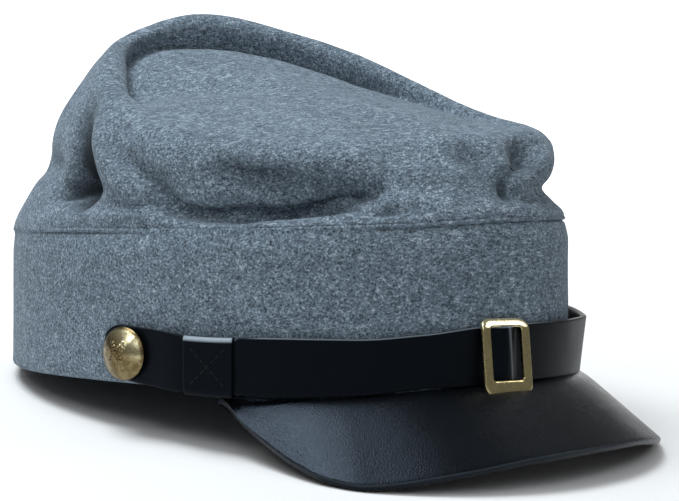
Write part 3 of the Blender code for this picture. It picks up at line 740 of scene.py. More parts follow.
def uneven(grid, normals, waves, fade):
    """The grid with slow waves pushed along its normals, weaker where fade is small."""
    push = np.zeros(grid.shape[:2])
    first, *others = WAVE_PLACE
    for number, wave in enumerate(waves):
        offset = Vector((number * first, *others))
        for ring, points in enumerate(grid / (wave.size * MM)):
            heights = [noise.noise(Vector(point) + offset) for point in points]
            push[ring] += np.array(heights) * (wave.push * MM)
    return grid + normals * (push * fade)[..., None]


# --- meshes --------------------------------------------------------------------------------


def resting(points):
    """Points of the upright cap moved to where it rests, and pressed flat on the floor."""
    rest = np.array(REST)
    moved = np.asarray(points) @ rest[:3, :3].T + rest[:3, 3]
    moved[..., 2] = np.maximum(moved[..., 2], FLOOR_GAP)
    return moved


def grid_faces(rings, columns, closed_up=False, start=0):
    """Quads between the points of a grid that closes round, numbered ring by ring."""
    low = np.arange(rings if closed_up else rings - 1)
    low, left = (part.ravel() for part in np.meshgrid(low, np.arange(columns), indexing="ij"))
    high = (low + 1) % rings
    right = (left + 1) % columns
    corners = (low, left), (high, left), (high, right), (low, right)
    return np.stack([start + ring * columns + column for ring, column in corners], axis=-1)


def mesh_of(name, points, faces, sharp=None, marks=None):
    """A smooth mesh object at its resting place, its faces turned outwards.

    The marks hold a number for each point, from 0 to 1.
    """
    mesh = bpy.data.meshes.new(name)
    mesh.from_pydata(resting(points).tolist(), [], [list(map(int, face)) for face in faces])
    mesh.validate()
    shell = bmesh.new()
    shell.from_mesh(mesh)
    bmesh.ops.recalc_face_normals(shell, faces=shell.faces)
    shell.to_mesh(mesh)
    shell.free()
    mesh.shade_smooth()
    if sharp:
        mesh.set_sharp_from_angle(angle=math.radians(sharp))
    for mark, values in (marks or {}).items():
        attribute = mesh.attributes.new(mark, "FLOAT", "POINT")
        attribute.data.foreach_set("value", np.asarray(values, float).ravel())
    obj = bpy.data.objects.new(name, mesh)
    bpy.context.scene.collection.objects.link(obj)
    return obj


def ring_object(name, grid, marks=None):
    """A grid of points that closes round and end to end, as a mesh object."""
    faces = grid_faces(*grid.shape[:2], closed_up=True)
    return mesh_of(name, grid.reshape(-1, 3), faces, marks=marks)


def tube_object(name, loops, sharp=None, marks=None):
    """Closed loops one after another, as a tube with its two ends filled."""
    rings, count = loops.shape[:2]
    faces = [list(face) for face in grid_faces(rings, count)]
    faces.append(list(range(count)))
    faces.append(list(range((rings - 1) * count, rings * count))[::-1])
    return mesh_of(name, loops.reshape(-1, 3), faces, sharp, marks)


CORNER_NEAR = 0.04  # how near to a corner the first point of a straight side is, as a share


def rounded_loop(low, high, corner, steps=5, straight=4):
    """Points round a rounded rectangle, as pairs, from the low and high corners."""
    right, above, left, below = *(np.array(high) - corner), *(np.array(low) + corner)
    centres = ((right, above), (left, above), (left, below), (right, below))
    turns = np.radians(np.linspace(0, 90, steps) + np.arange(4)[:, None] * 90)
    bends = [
        corner * np.stack([np.cos(turn), np.sin(turn)], -1) + centre
        for turn, centre in zip(turns, centres)
    ]
    shares = np.array([CORNER_NEAR, *(np.arange(1, straight) / straight), 1 - CORNER_NEAR])
    spots = []
    for bend, following in zip(bends, bends[1:] + bends[:1]):
        leave, arrive = bend[-1], following[0]
        spots += [bend, leave + (arrive - leave) * shares[:, None]]
    return np.concatenate(spots)


def dress(obj, node_names, finish):
    """Gives a piece its finish and its place on the frame, and hides the CAD nodes that it
    replaces.
    """
    obj.data.materials.append(finish)
    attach(obj, "root")
    if node_names:
        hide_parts(*node_names)


# --- shader maths --------------------------------------------------------------------------


class Value:
    """A socket that carries a number; + - * / and ** add Math nodes."""

    def __init__(self, finish, socket):
        self.finish = finish
        self.socket = socket

    def math(self, operation, *values, clamp=False):
        settings = {"operation": operation, "use_clamp": clamp}
        return self.finish.node("ShaderNodeMath", settings, dict(enumerate(values)))

    def __add__(self, other):
        return self.math("ADD", self, other)

    def __sub__(self, other):
        return self.math("SUBTRACT", self, other)

    def __rsub__(self, other):
        return self.math("SUBTRACT", other, self)

    def __mul__(self, other):
        return self.math("MULTIPLY", self, other)

    def __truediv__(self, other):
        return self.math("DIVIDE", self, other)

    def __pow__(self, other):
        return self.math("POWER", self, other)

    __radd__ = __add__
    __rmul__ = __mul__

    def clamped(self):
        return self.math("ADD", self, 0.0, clamp=True)

    def largest(self, other):
        return self.math("MAXIMUM", self, other)


class Finish:
    """A material in the making."""

    def __init__(self, name):
        self.material = bpy.data.materials.new(name)
        self.material.use_nodes = True
        self.tree = self.material.node_tree
        self.shader = self.tree.nodes["Principled BSDF"]

    def node(self, kind, settings=None, inputs=None, output=0):
        """Adds a node, sets its settings and then its sockets, and returns one of its outputs."""
        made = self.tree.nodes.new(kind)
        for name, value in (settings or {}).items():
            if name == "stops":
                self.ramp_stops(made.color_ramp, value)
            else:
                setattr(made, name, value)
        for name, value in (inputs or {}).items():
            self.feed(made.inputs[name], value)
        return Value(self, made.outputs[output])

    def feed(self, socket, value):
        """Links a value to a socket, or sets a number, vector or colour on it."""
        if isinstance(value, Value):
            self.tree.links.new(value.socket, socket)
        elif hasattr(value, "__len__") and socket.type == "RGBA" and len(value) == 3:
            socket.default_value = (*value, 1)
        else:
            socket.default_value = value

    def ramp_stops(self, ramp, stops):
        """Gives a ramp its stops: places with colours."""
        while len(ramp.elements) < len(stops):
            ramp.elements.new(0.5)
        for element, (place_on_ramp, colour) in zip(ramp.elements, stops):
            element.position = place_on_ramp
            element.color = (*colour, 1)

    def surface(self, **sockets):
        """Feeds the shader's sockets, with spaces in their names written as underscores."""
        for name, value in sockets.items():
            self.feed(self.shader.inputs[name.replace("_", " ")], value)

    def here(self):
        """The place on the object, in metres."""
        return self.node("ShaderNodeTexCoord", output="Object")

    def turned(self, place_on_object, rotation, scale):
        """The place after it is turned, in degrees, and scaled."""
        turn = tuple(math.radians(angle) for angle in rotation)
        inputs = {"Vector": place_on_object, "Rotation": turn, "Scale": scale}
        return self.node("ShaderNodeMapping", {"vector_type": "POINT"}, inputs)

    def noise(self, place_on_object, scale, detail=2.0, roughness=0.5, distortion=0.0):
        """Soft random values from 0 to 1; scale is the number of blobs in a metre."""
        inputs = {
            "Vector": place_on_object,
            "Scale": scale,
            "Detail": detail,
            "Roughness": roughness,
            "Distortion": distortion,
        }
        return self.node("ShaderNodeTexNoise", {"noise_dimensions": "3D"}, inputs)

    def cells(self, place_on_object, scale):
        """Distances in a random cell pattern; scale is the number of cells in a metre."""
        inputs = {"Vector": place_on_object, "Scale": scale}
        return self.node("ShaderNodeTexVoronoi", {"feature": "F1"}, inputs)

    def mark(self, name):
        """A number that the mesh holds for each of its points."""
        return self.node("ShaderNodeAttribute", {"attribute_name": name}, output="Fac")

    def ramp(self, value, stops):
        """Turns a number into a colour."""
        return self.node("ShaderNodeValToRGB", {"stops": stops}, {"Fac": value}, "Color")

    def blend(self, share, first, second):
        """A mix of two colours."""
        inputs = {0: share, 6: first, 7: second}
        return self.node("ShaderNodeMix", {"data_type": "RGBA"}, inputs, output=2)

    def bump(self, height, distance, strength=1.0):
        """A bumped normal; distance is the height of the bumps in metres."""
        inputs = {"Height": height, "Distance": distance, "Strength": strength}
        return self.node("ShaderNodeBump", None, inputs)


def spread_out(value, low, high):
    """Stretches the part of a value between low and high to 0 to 1."""
    return ((value - low) / (high - low)).clamped()


# --- finishes ------------------------------------------------------------------------------

# How far dark and light go in the wool, as shares of its middle tone, and where on the scale.
WOOL_TONES = ((0.0, 0.22), (0.42, 0.82), (0.72, 1.45))
WOOL_PAINTED_CREASE_SHADE = 0.16  # painted shade: the same, in the bottom of a crease
STRANDS = ((20, 35, 50), (-40, 15, -30), (65, -25, 10))  # how three layers of fibres lie
BUTTON_HOLLOW = 1.6 * MM  # metal this near over a spot still makes it a hollow
FLOOR_FALL = 0.22  # how dark the floor gets far from the cap, as a share of its colour
# How far behind the cap the floor's pale oval has its middle, and half its length and its
# width, in metres.
FLOOR_OVAL = (1.3, 1.75, 0.95)


def shaded(colour, share):
    """A colour made darker or lighter."""
    return tuple(channel * share for channel in colour)


def wool(settings):
    """Fulled wool: heathered dark and light fibres, matted into a soft nap, with painted shade in
    its creases.
    """
    finish = Finish("fulled wool")
    here = finish.here()
    warp = finish.noise(here, 260, 2)
    layers = [
        finish.noise(finish.turned(here, turn, (0.28, 1.0, 1.0)), 1250, 3, 0.65, 0.35)
        for turn in STRANDS
    ]
    tufts = layers[0].largest(layers[1]).largest(layers[2])
    grain = finish.noise(here, 1500, 4, 0.75)
    blotches = finish.noise(here, 330, 3, 0.6)
    patches = finish.noise(here, 42, 3, 0.5)
    light = spread_out(tufts, 0.5, 0.78)
    dark = spread_out(1 - grain, 0.46, 0.72)
    tone = 0.47 + 0.8 * light - 0.8 * dark + 0.6 * (blotches - 0.5) + 0.15 * (patches - 0.5)
    tone = tone.clamped()
    base, fibre = tuple(settings.colour), tuple(settings.fibre)
    stops = [(spot, shaded(base, share)) for spot, share in WOOL_TONES]
    colour = finish.ramp(tone, [*stops, (1.0, fibre)])
    finish.surface(
        # The hollow mark blends in painted shade, a darker wool tone, in creases and behind the
        # roll.
        Base_Color=finish.blend(finish.mark("hollow"), colour, shaded(base, WOOL_PAINTED_CREASE_SHADE)),
        Roughness=0.96,
        Specular_IOR_Level=0.15,
        Sheen_Weight=0.22,
        Sheen_Roughness=0.45,
        Sheen_Tint=fibre,
    )
    nap = 0.6 * tufts + 0.5 * grain + 0.25 * warp
    finish.surface(Normal=finish.bump(nap, settings.nap, 0.75))
    return finish.material


def leather(settings, name, grain_size, grain_depth, roughness, gloss):
    """Black leather with a fine pebbled grain, a few scuffs and a dull bloom."""
    finish = Finish(name)
    here = finish.here()
    bent = finish.noise(here, 240, 2)
    pebbles = finish.cells(here, 1 / grain_size)
    fine = finish.noise(here, 2600, 3, 0.6)
    bloom = finish.noise(here, 60, 4, 0.6)
    scratched = finish.turned(here, (0, 0, 35), (0.2, 1, 1))
    scuffs = spread_out(finish.noise(scratched, 700, 4), 0.62, 0.75)
    # Painted highlight, partly real abrasion: marked edges take a pale grey colour and a smoother
    # finish.
    edge = (finish.mark("wear") * (0.7 + 0.6 * fine)).clamped()
    tone = (0.35 * bloom + 0.15 * fine + 0.12 * scuffs).clamped()
    rough = roughness + 0.16 * (bloom - 0.5) + 0.10 * (fine - 0.5) + 0.1 * scuffs - 0.12 * edge
    plain = finish.blend(tone, tuple(settings.colour), tuple(settings.bloom))
    finish.surface(
        Base_Color=finish.blend(edge, plain, tuple(settings.worn_and_highlight)),
        Roughness=rough.clamped(),
        Specular_IOR_Level=gloss * settings.gloss,
        Specular_Tint=(*settings.shine, 1),
    )
    height = pebbles * 0.7 + fine * 0.35 + bent * 0.2
    finish.surface(Normal=finish.bump(height, grain_depth, 0.8))
    return finish.material


def brass(settings):
    """Cast brass, tarnished in its hollows, with painted highlight and painted shade from its
    marks.
    """
    finish = Finish("aged brass")
    here = finish.here()
    stain = spread_out(finish.noise(here, 330, 4, 0.62), 0.42, 0.72)
    specks = spread_out(finish.noise(here, 1900, 3, 0.6), 0.55, 0.8)
    inputs = {"Distance": BUTTON_HOLLOW}
    open_to_air = finish.node("ShaderNodeAmbientOcclusion", {"samples": 6}, inputs, output="AO")
    # Painted shade over patina: the buttons' mark darkens their lower left and rim.
    browned = finish.mark("browned")
    tarnish_and_painted_shade = (0.5 * stain + 0.25 * specks + 1.1 * (1 - open_to_air) + browned).clamped()
    # Painted highlight, partly real polish: the mark lightens the metal on the buttons' upper right
    # and the slide's top bar.
    rubbed_and_highlit = finish.mark("wear")
    metal = finish.blend(rubbed_and_highlit, tuple(settings.colour), tuple(settings.polished_and_highlight))
    finish.surface(
        Base_Color=finish.blend(tarnish_and_painted_shade * (1 - 0.7 * rubbed_and_highlit), metal, tuple(settings.tarnish_and_painted_shade)),
        Metallic=1.0,
        Roughness=(0.17 + 0.2 * stain + 0.08 * specks).clamped(),
    )
    finish.surface(Normal=finish.bump(finish.noise(here, 900, 3), 0.06 * MM, 0.6))
    return finish.material


def thread(settings):
    """Waxed black thread."""
    finish = Finish("waxed thread")
    twist = finish.node(
        "ShaderNodeTexWave",
        {"wave_type": "BANDS", "bands_direction": "DIAGONAL"},
        {"Vector": finish.here(), "Scale": 900.0},
    )
    finish.surface(
        Base_Color=finish.blend(twist, tuple(settings.colour), tuple(settings.bloom)),
        Roughness=0.6,
        Specular_IOR_Level=0.2,
        Normal=finish.bump(twist, 0.05 * MM),
    )
    return finish.material


def pale_floor(settings):
    """Plain pale matt board that darkens in one soft oval, far from the cap."""
    finish = Finish("pale board")
    here = finish.here()
    turn = math.degrees(settings.camera_turn)
    dot = "ShaderNodeVectorMath", {"operation": "DOT_PRODUCT"}
    along, across = (
        finish.node(*dot, {0: here, 1: tuple(facing(way))}, "Value") for way in (turn, turn - 90)
    )
    behind, half_length, half_width = FLOOR_OVAL
    out = (((along + behind) / half_length) ** 2 + (across / half_width) ** 2) ** 0.5
    fall = eased(spread_out(out, 0.98, 1.4))
    mottle = 0.04 * finish.noise(here, 12, 3)
    base = tuple(settings.floor_colour)
    colour = finish.blend((fall + mottle).clamped(), base, shaded(base, FLOOR_FALL))
    finish.surface(Base_Color=colour, Roughness=0.9)
    return finish.material


def finish_named(name, make, *arguments):
    """The material of this name, made once."""
    return bpy.data.materials.get(name) or make(*arguments)


def cloth_finish(context):
    """The wool of the band and the crown."""
    return finish_named("fulled wool", wool, context.scene.kepi_wool)


# The two finishes of the leather: the size and the depth of its grain, how much smoother it is
# than the setting says, and how strongly it mirrors.
LeatherFinish = namedtuple("LeatherFinish", "grain_size grain_depth smoother gloss")
STRAP_FINISH = LeatherFinish(0.5 * MM, 0.05 * MM, 0.03, 0.1)
PEAK_FINISH = LeatherFinish(0.45 * MM, 0.1 * MM, 0.14, 0.19)


def leather_finish(context, name, kind):
    """Leather of this kind."""
    settings = context.scene.kepi_leather
    roughness = settings.roughness - kind.smoother
    grain = kind.grain_size, kind.grain_depth
    return finish_named(name, leather, settings, name, *grain, roughness, kind.gloss)


def strap_finish(context):
    """The leather of the strap and the keeper."""
    return leather_finish(context, "strap leather", STRAP_FINISH)


def brass_finish(context):
    """The brass of the slide and the buttons."""
    return finish_named("aged brass", brass, context.scene.kepi_brass)


# --- settings ------------------------------------------------------------------------------


def colour_setting(name, description, default):
    """A colour that can be set in the panel."""
    return FloatVectorProperty(
        name=name,
        description=description,
        subtype="COLOR",
        size=3,
        min=0,
        max=1,
        default=default,
    )


def power_setting(name, description, default):
    """The power of a light, in watts."""
    return FloatProperty(name=name, description=description, unit="POWER", default=default, min=0)


class KepiWool(PropertyGroup):
    colour: colour_setting("Wool", "Middle tone of the cloth", (0.132, 0.172, 0.212))
    fibre: colour_setting(
        "Light fibres", "Colour of the palest fibres in the heathered cloth", (0.42, 0.48, 0.53)
    )
    nap: FloatProperty(
        name="Nap",
        description="Height of the matted surface",
        subtype="DISTANCE",
        unit="LENGTH",
        default=0.35 * MM,
        min=0,
        max=2 * MM,
    )
    facets_round: IntProperty(
        name="Facets round",
        description="Columns of the cloth's mesh round the cap",
        default=432,
        min=96,
        max=600,
    )


class KepiLeather(PropertyGroup):
    colour: colour_setting("Leather", "Colour of the leather", (0.0022, 0.0026, 0.0032))
    bloom: colour_setting("Bloom", "Dull grey of dusty places", (0.0032, 0.0044, 0.0066))
    shine: colour_setting("Shine", "Tint of what the waxed leather mirrors", (0.54, 0.73, 1.0))
    # The edge colour: partly real abrasion, partly a painted highlight on the upper edges of the
    # strap, keeper and peak.
    worn_and_highlight: colour_setting("Worn edge", "Colour of rubbed edges", (0.30, 0.35, 0.40))
    gloss: FloatProperty(
        name="Gloss",
        description="How strongly the leather mirrors what is in front of it",
        subtype="FACTOR",
        default=1.0,
        min=0,
        max=2,
    )
    roughness: FloatProperty(
        name="Roughness",
        description="How dull the strap is; the peak is a little smoother",
        subtype="FACTOR",
        default=0.42,
        min=0.05,
        max=1,
    )


class KepiBrass(PropertyGroup):
    colour: colour_setting("Brass", "Colour of the plain metal", (0.53, 0.46, 0.24))
    # Painted highlight colour for the buttons' upper right and the slide's top bar, partly real
    # polish from handling.
    polished_and_highlight: colour_setting(
        "Rubbed bright", "Colour of the most handled places", (0.9, 0.82, 0.55)
    )
    # Patina of stains and hollows, also the colour of the painted shade on the buttons' domes and
    # rims.
    tarnish_and_painted_shade: colour_setting("Tarnish", "Colour of stains and hollows", (0.14, 0.10, 0.045))


class KepiStage(PropertyGroup):
    floor_colour: colour_setting("Floor", "Colour of the floor and the backdrop", (0.86,) * 3)
    key_power: power_setting("Overhead light", "Power of the soft box over the cap", 9.2)
    fill_power: power_setting("Front light", "Power of the soft box over the camera", 2.0)
    side_power: power_setting("Side lights", "Power of the boxes that the brass mirrors", 0.7)
    backdrop_power: power_setting("Backdrop light", "Power of the box behind the cap", 60.0)
    sky: FloatProperty(
        name="Room light",
        description="Strength of the even light from all round",
        default=0.22,
        min=0,
    )
    camera_distance: FloatProperty(
        name="Camera distance",
        description="From the camera to the middle of the cap",
        subtype="DISTANCE",
        unit="LENGTH",
        default=0.55,
        min=0.2,
    )
    camera_turn: FloatProperty(
        name="Camera turn",
        description="How far round to the wearer's right the camera stands",
        subtype="ANGLE",
        unit="ROTATION",
        default=math.radians(43),
    )


# --- cloth pieces --------------------------------------------------------------------------


class KEPI_OT_band(Operator):
    """Builds the upright cloth band with its turned hem and its felled welt"""

    bl_idname = "kepi.band"
    bl_label = "Band"

    def execute(self, context):
        angles = round_angles(context.scene.kepi_wool.facets_round)
        radius = band_radius(angles)
        bottom = round_cap(BAND_ROWS, "bottom_z", angles)
        top = round_cap(BAND_ROWS, "seam_z", angles)
        rings = [place(angles, radius + row.out * MM, bottom + row.up * MM) for row in BAND_HEM]
        foot, head = bottom + BAND_HEM[-1].up * MM, top - BAND_WELT[0].down * MM
        lies = lying_down(angles)
        for share in np.linspace(0, 1, BAND_RINGS)[1:-1]:
            face = radius + BAND_SWELL * (1 - share)
            rings.append(place(angles, face, foot + (head - foot) * share))
        for row in BAND_WELT:
            out = (row.out + (row.flat - row.out) * lies) * MM
            out = out + standing_out(angles) * (1 - row.down / BAND_WELT[0].down) ** 2
            rings.append(place(angles, radius + out, top - row.down * MM))
        starts = BAND_HEM[0].up * MM
        inner = [
            place(angles, radius - BAND_INSIDE, bottom + starts + (top - bottom - starts) * share)
            for share in np.linspace(1, 0, BAND_INSIDE_RINGS)[1:-1]
        ]
        grid = np.stack(rings + inner)
        outside = np.ones(len(grid))
        outside[len(rings) :] = BAND_INSIDE_WAVES
        normals = np.broadcast_to(facing(angles), grid.shape)
        grid = uneven(grid, normals, BAND_WAVES, outside[:, None])
        band = ring_object("cloth_band", grid)
        dress(band, ["band"], cloth_finish(context))
        return {"FINISHED"}


class KEPI_OT_crown(Operator):
    """Builds the soft crown in one piece of cloth, from the band's seam to the sunk top"""

    bl_idname = "kepi.crown"
    bl_label = "Crown"

    def execute(self, context):
        columns = context.scene.kepi_wool.facets_round
        angles = round_angles(columns)
        stations_up = even_stations(CROWN_STEP)
        grid, hollow = creased(wall_points(angles, stations_up))
        grid = relaxed(grid, OUTSIDE_RELAXED)
        before, wide = GROOVE
        groove = np.exp(-(((stations_up - LIP + before) / wide) ** 2))
        # Painted shade: the hollow mark darkens the cloth's colour in the creases and behind the
        # roll.
        hollow = np.maximum(hollow, ROLL_SHADE * groove[:, None] * rolled_over(angles))
        fade = np.clip((stations_up - HEM) / 2, 0, 1)[:, None]
        middle = np.clip((MIDDLE - stations_up) / 1.5, 0.15, 1)[:, None]
        grid = uneven(grid, grid_normals(grid), CROWN_WAVES, fade * middle)
        inside = relaxed(grid, INSIDE_RELAXED)
        normals = grid_normals(inside)
        deep = np.maximum(((inside - grid) * normals).sum(axis=-1), 0)
        inside = (inside - normals * (CLOTH + deep)[..., None])[::INSIDE_STEP][::-1]
        sheet = np.concatenate([inside, grid])
        middles = np.stack([inside[0].mean(axis=0), grid[-1].mean(axis=0)])
        points = np.concatenate([sheet.reshape(-1, 3), middles])
        faces = grid_faces(len(sheet), columns).tolist()
        under, over = len(points) - 2, len(points) - 1
        last = (len(sheet) - 1) * columns
        for i in range(columns):
            beside = (i + 1) % columns
            faces.append([under, i, beside])
            faces.append([last + i, over, last + beside])
        hollow = np.concatenate([np.zeros(inside.shape[:2]), hollow]).ravel()
        marks = {"hollow": np.append(hollow, (0, 0))}
        crown = mesh_of("cloth_crown", points, faces, marks=marks)
        dress(crown, ["crown_side", "crown_top"], cloth_finish(context))
        return {"FINISHED"}


# --- leather pieces ------------------------------------------------------------------------


def peak_sink(share):
    """The peak's section: nearly level at the band, then a straight slope."""
    past_bend = share - PEAK_BEND
    return past_bend + np.hypot(past_bend, PEAK_BEND_WIDE)


class KEPI_OT_peak(Operator):
    """Builds the curved leather peak with its rounded edge"""

    bl_idname = "kepi.peak"
    bl_label = "Peak"

    def execute(self, context):
        angles = np.linspace(-PEAK_END, PEAK_END, PEAK_COLUMNS)
        root_z = round_cap(BAND_ROWS, "bottom_z", angles) - PEAK_GAP
        full, reach, evenly = PEAK_CLIMB
        root_z = root_z + PEAK_TURN_UP * np.clip(full - np.abs(angles) / reach, 0, 1) ** evenly
        reach = steady(PEAK_ROWS, "reach", np.abs(angles))
        edge_z = steady(PEAK_ROWS, "edge_z", np.abs(angles))
        rings = []
        for share in np.linspace(0, 1, PEAK_RINGS) ** 0.9:
            sink = (peak_sink(share) - peak_sink(0)) / (peak_sink(1) - peak_sink(0))
            radius = band_radius(angles) - PEAK_UNDER + (reach + PEAK_UNDER) * share
            rings.append(place(angles, radius, root_z + (edge_z - root_z) * sink))
        top = np.stack(rings)
        normals = np.cross(np.gradient(top, axis=1), np.gradient(top, axis=0))
        normals /= np.linalg.norm(normals, axis=-1, keepdims=True)
        outwards = top[-1] - top[-2]
        outwards /= np.linalg.norm(outwards, axis=-1, keepdims=True)
        upright, bulge = normals[-1] * (PEAK_LEATHER / 2), outwards * PEAK_ROUNDING
        edge_middle = top[-1] - upright - bulge
        rounding = [
            edge_middle + upright * math.cos(turn) + bulge * math.sin(turn)
            for turn in np.radians(np.linspace(0, 180, 13))
        ]
        under = (top - normals * PEAK_LEATHER)[::-1]
        keep = np.linalg.norm(top - top[-1], axis=-1).mean(axis=1) > PEAK_ROUNDING_STARTS
        loops = np.concatenate([top[keep], np.stack(rounding), under[keep[::-1]]])
        # Painted highlight, partly real abrasion: a thin pale line on the upper part of the edge's
        # rounding.
        rubbed_and_highlit = np.zeros(len(loops))
        first = int(keep.sum())
        rubbed_and_highlit[first + 2 : first + 4] = PEAK_EDGE_WORN_AND_LIT
        rubbed_and_highlit = np.broadcast_to(rubbed_and_highlit, (len(angles), len(loops)))
        loops = loops.transpose(1, 0, 2)[::-1]
        peak = tube_object("leather_peak", loops, sharp=60, marks={"wear": rubbed_and_highlit})
        finish = leather_finish(context, "peak leather", PEAK_FINISH)
        dress(peak, ["peak"], finish)
        return {"FINISHED"}


def strap_loops(angles, thickness, slack=0.0, behind=0.0, corner=0.5 * MM, ends_round=False):
    """Loops round the strap at each angle: a rounded bar that follows the strap's table."""
    height = steady(STRAP_ROWS, "height", angles)
    half = steady(STRAP_ROWS, "width", angles) / 2 + slack
    flare = steady(STRAP_ROWS, "flare", angles)
    back = band_radius(angles) + steady(STRAP_ROWS, "off", angles) - behind
    if ends_round:
        along = (STRAP_END - np.abs(angles)) * math.radians(1) * band_radius(angles)
        short = np.clip(1 - along / STRAP_ROUNDED, 0, 1)
        half = half * (STRAP_BLUNT + (1 - STRAP_BLUNT) * np.sqrt(1 - short**2))
    deep = behind + thickness + slack
    loops, wear = [], []
    for i, angle in enumerate(angles):
        section = rounded_loop((0, -half[i]), (deep, half[i]), corner)
        out = back[i] + section[:, 0] + flare[i] * section[:, 1] / half[i]
        loops.append(place(np.full(len(section), angle), out, height[i] + section[:, 1]))
        # The upper outer corner takes the edge colour: partly abrasion, partly painted highlight.
        into_corner = (section - (deep - corner, half[i] - corner)) / corner
        wear.append(np.clip(2.2 * into_corner.min(axis=1), 0, 1))
    return np.stack(loops), np.stack(wear)


class KEPI_OT_strap(Operator):
    """Builds the chin strap across the front"""

    bl_idname = "kepi.strap"
    bl_label = "Chin strap"

    def execute(self, context):
        # The mesh is finer where the strap bends at the slide.
        near_buckle = np.linspace(BUCKLE_ANGLE - 7, BUCKLE_ANGLE + 7, 57)
        sides = np.linspace(BUCKLE_ANGLE + 7.5, STRAP_END, 120)
        other = -np.linspace(STRAP_END, 2.5, 124)
        angles = np.concatenate([other, near_buckle, sides])
        loops, wear = strap_loops(angles, STRAP_LEATHER, ends_round=True)
        # Painted highlight, partly real abrasion, along the strap's upper corner between these
        # angles, and a painted highlight line beside the slide.
        first, last = STRAP_EDGE_LIT_FROM, STRAP_EDGE_LIT_TO
        rubbed_and_highlit = np.clip((last - angles) / 3, 0, 1) * np.clip((angles - first) / 10, 0, 1)
        wear *= STRAP_EDGE_WORN_AND_LIT * rubbed_and_highlit[:, None]
        at_foot, leaning, wide, highlight_strength = STRAP_HIGHLIGHT_LINE
        height = loops[..., 2] / STRAP_HIGHLIGHT_HEIGHT
        beside = (angles[:, None] - at_foot - leaning * height) / wide
        wear = wear + highlight_strength * np.exp(-(beside**2))
        strap = tube_object("leather_strap", loops, marks={"wear": wear})
        dress(strap, ["chin_strap"], strap_finish(context))
        return {"FINISHED"}


class KEPI_OT_keeper(Operator):
    """Builds the leather keeper round the strap, with its crossed stitches"""

    bl_idname = "kepi.keeper"
    bl_label = "Keeper"

    def execute(self, context):
        start, end = KEEPER_SPAN
        wrap = KEEPER_GAP + KEEPER_LEATHER
        angles = np.linspace(start, end, 25)
        outer, wear = strap_loops(angles, STRAP_LEATHER, wrap, wrap, corner=1.6 * MM)
        inner, _ = strap_loops(angles, STRAP_LEATHER, KEEPER_GAP, KEEPER_GAP, corner=0.6 * MM)
        middle = (outer + inner) / 2
        over, under = (middle + (face - middle) * 0.7 for face in (outer, inner))
        start_edge, end_edge = [middle[:1], over[:1], outer], [over[-1:], under[-1:]]
        grid = np.concatenate([*start_edge, *end_edge, inner[::-1], under[:1]])
        # Painted highlight, partly real abrasion, on the keeper's rounded top corner.
        rubbed_and_highlit = np.zeros(grid.shape[:2])
        rubbed_and_highlit[2 : 2 + len(wear)] = wear
        keeper = ring_object("leather_keeper", grid, {"wear": rubbed_and_highlit})
        dress(keeper, ["keeper"], strap_finish(context))
        waxed = finish_named("waxed thread", thread, context.scene.kepi_leather)
        dress(keeper_stitches(), [], waxed)
        return {"FINISHED"}


def keeper_face(across, up):
    """A point on the keeper's outer face: both numbers go from 0 to 1, round the band and up."""
    start, end = KEEPER_SPAN
    angle = np.array(start + (end - start) * across)
    half = steady(STRAP_ROWS, "width", angle) / 2 + KEEPER_GAP
    middle = steady(STRAP_ROWS, "height", angle)
    off = steady(STRAP_ROWS, "off", angle) + STRAP_LEATHER + KEEPER_GAP + KEEPER_LEATHER
    return place(angle, band_radius(angle) + off, middle + (2 * up - 1) * half)


def keeper_stitches():
    """Two crossed rows of short stitches on the keeper's face."""
    points, faces = [], []
    reach = STITCH_HIGH - STITCH_LOW
    for from_up, rise in ((STITCH_LOW, reach), (STITCH_HIGH, -reach)):
        ends = [keeper_face(STITCH_LOW + reach * share, from_up + rise * share) for share in (0, 1)]
        count = int(np.linalg.norm(ends[1] - ends[0]) / (STITCH_LENGTH + STITCH_GAP))
        for i in range(count):
            line = [
                keeper_face(STITCH_LOW + reach * share, from_up + rise * share)
                for share in np.linspace((i + 0.12) / count, (i + 0.88) / count, 7)
            ]
            add_stitch(points, faces, np.array(line))
    return mesh_of("keeper_stitches", np.array(points), faces)


def add_stitch(points, faces, line):
    """Adds one stitch: a thin round thread that dips into the leather at both ends."""
    outward = line.mean(axis=0) * (1, 1, 0)
    outward /= np.linalg.norm(outward)
    way = line[-1] - line[0]
    way /= np.linalg.norm(way)
    side = np.cross(way, outward)
    start = len(points)
    around = np.radians(np.arange(STITCH_SIDES) * (360 // STITCH_SIDES))
    for spot, lift in zip(line, np.sin(np.linspace(0, math.pi, len(line)))):
        centre = spot + outward * STITCH_THICK * (lift - 0.75)
        thick = STITCH_THICK * (0.55 + 0.45 * lift)
        for turn in around:
            points.append(centre + thick * (side * math.cos(turn) + outward * math.sin(turn)))
    faces.extend(list(face) for face in grid_faces(len(line), STITCH_SIDES, start=start))
    end = len(points)
    faces.append(list(range(start, start + STITCH_SIDES)))
    faces.append(list(range(end - STITCH_SIDES, end))[::-1])


# --- brass pieces --------------------------------------------------------------------------


def fitting_place(angle, height, lean=0, tip=0):
    """Where a fitting stands on the band: its own +Y faces out and its +Z is up."""
    foot = place(np.array(angle), band_radius(angle), np.array(height))
    turn = Matrix.Rotation(math.radians(180 - band_outward(angle)), 4, "Z")
    leaning = Matrix.Rotation(math.radians(lean), 4, "Y")
    tipping = Matrix.Rotation(math.radians(tip), 4, "X")
    return Matrix.Translation(Vector(foot)) @ turn @ tipping @ leaning


def placed(points, matrix):
    """Points moved by a matrix."""
    moved = np.array(matrix)
    return points @ moved[:3, :3].T + moved[:3, 3]


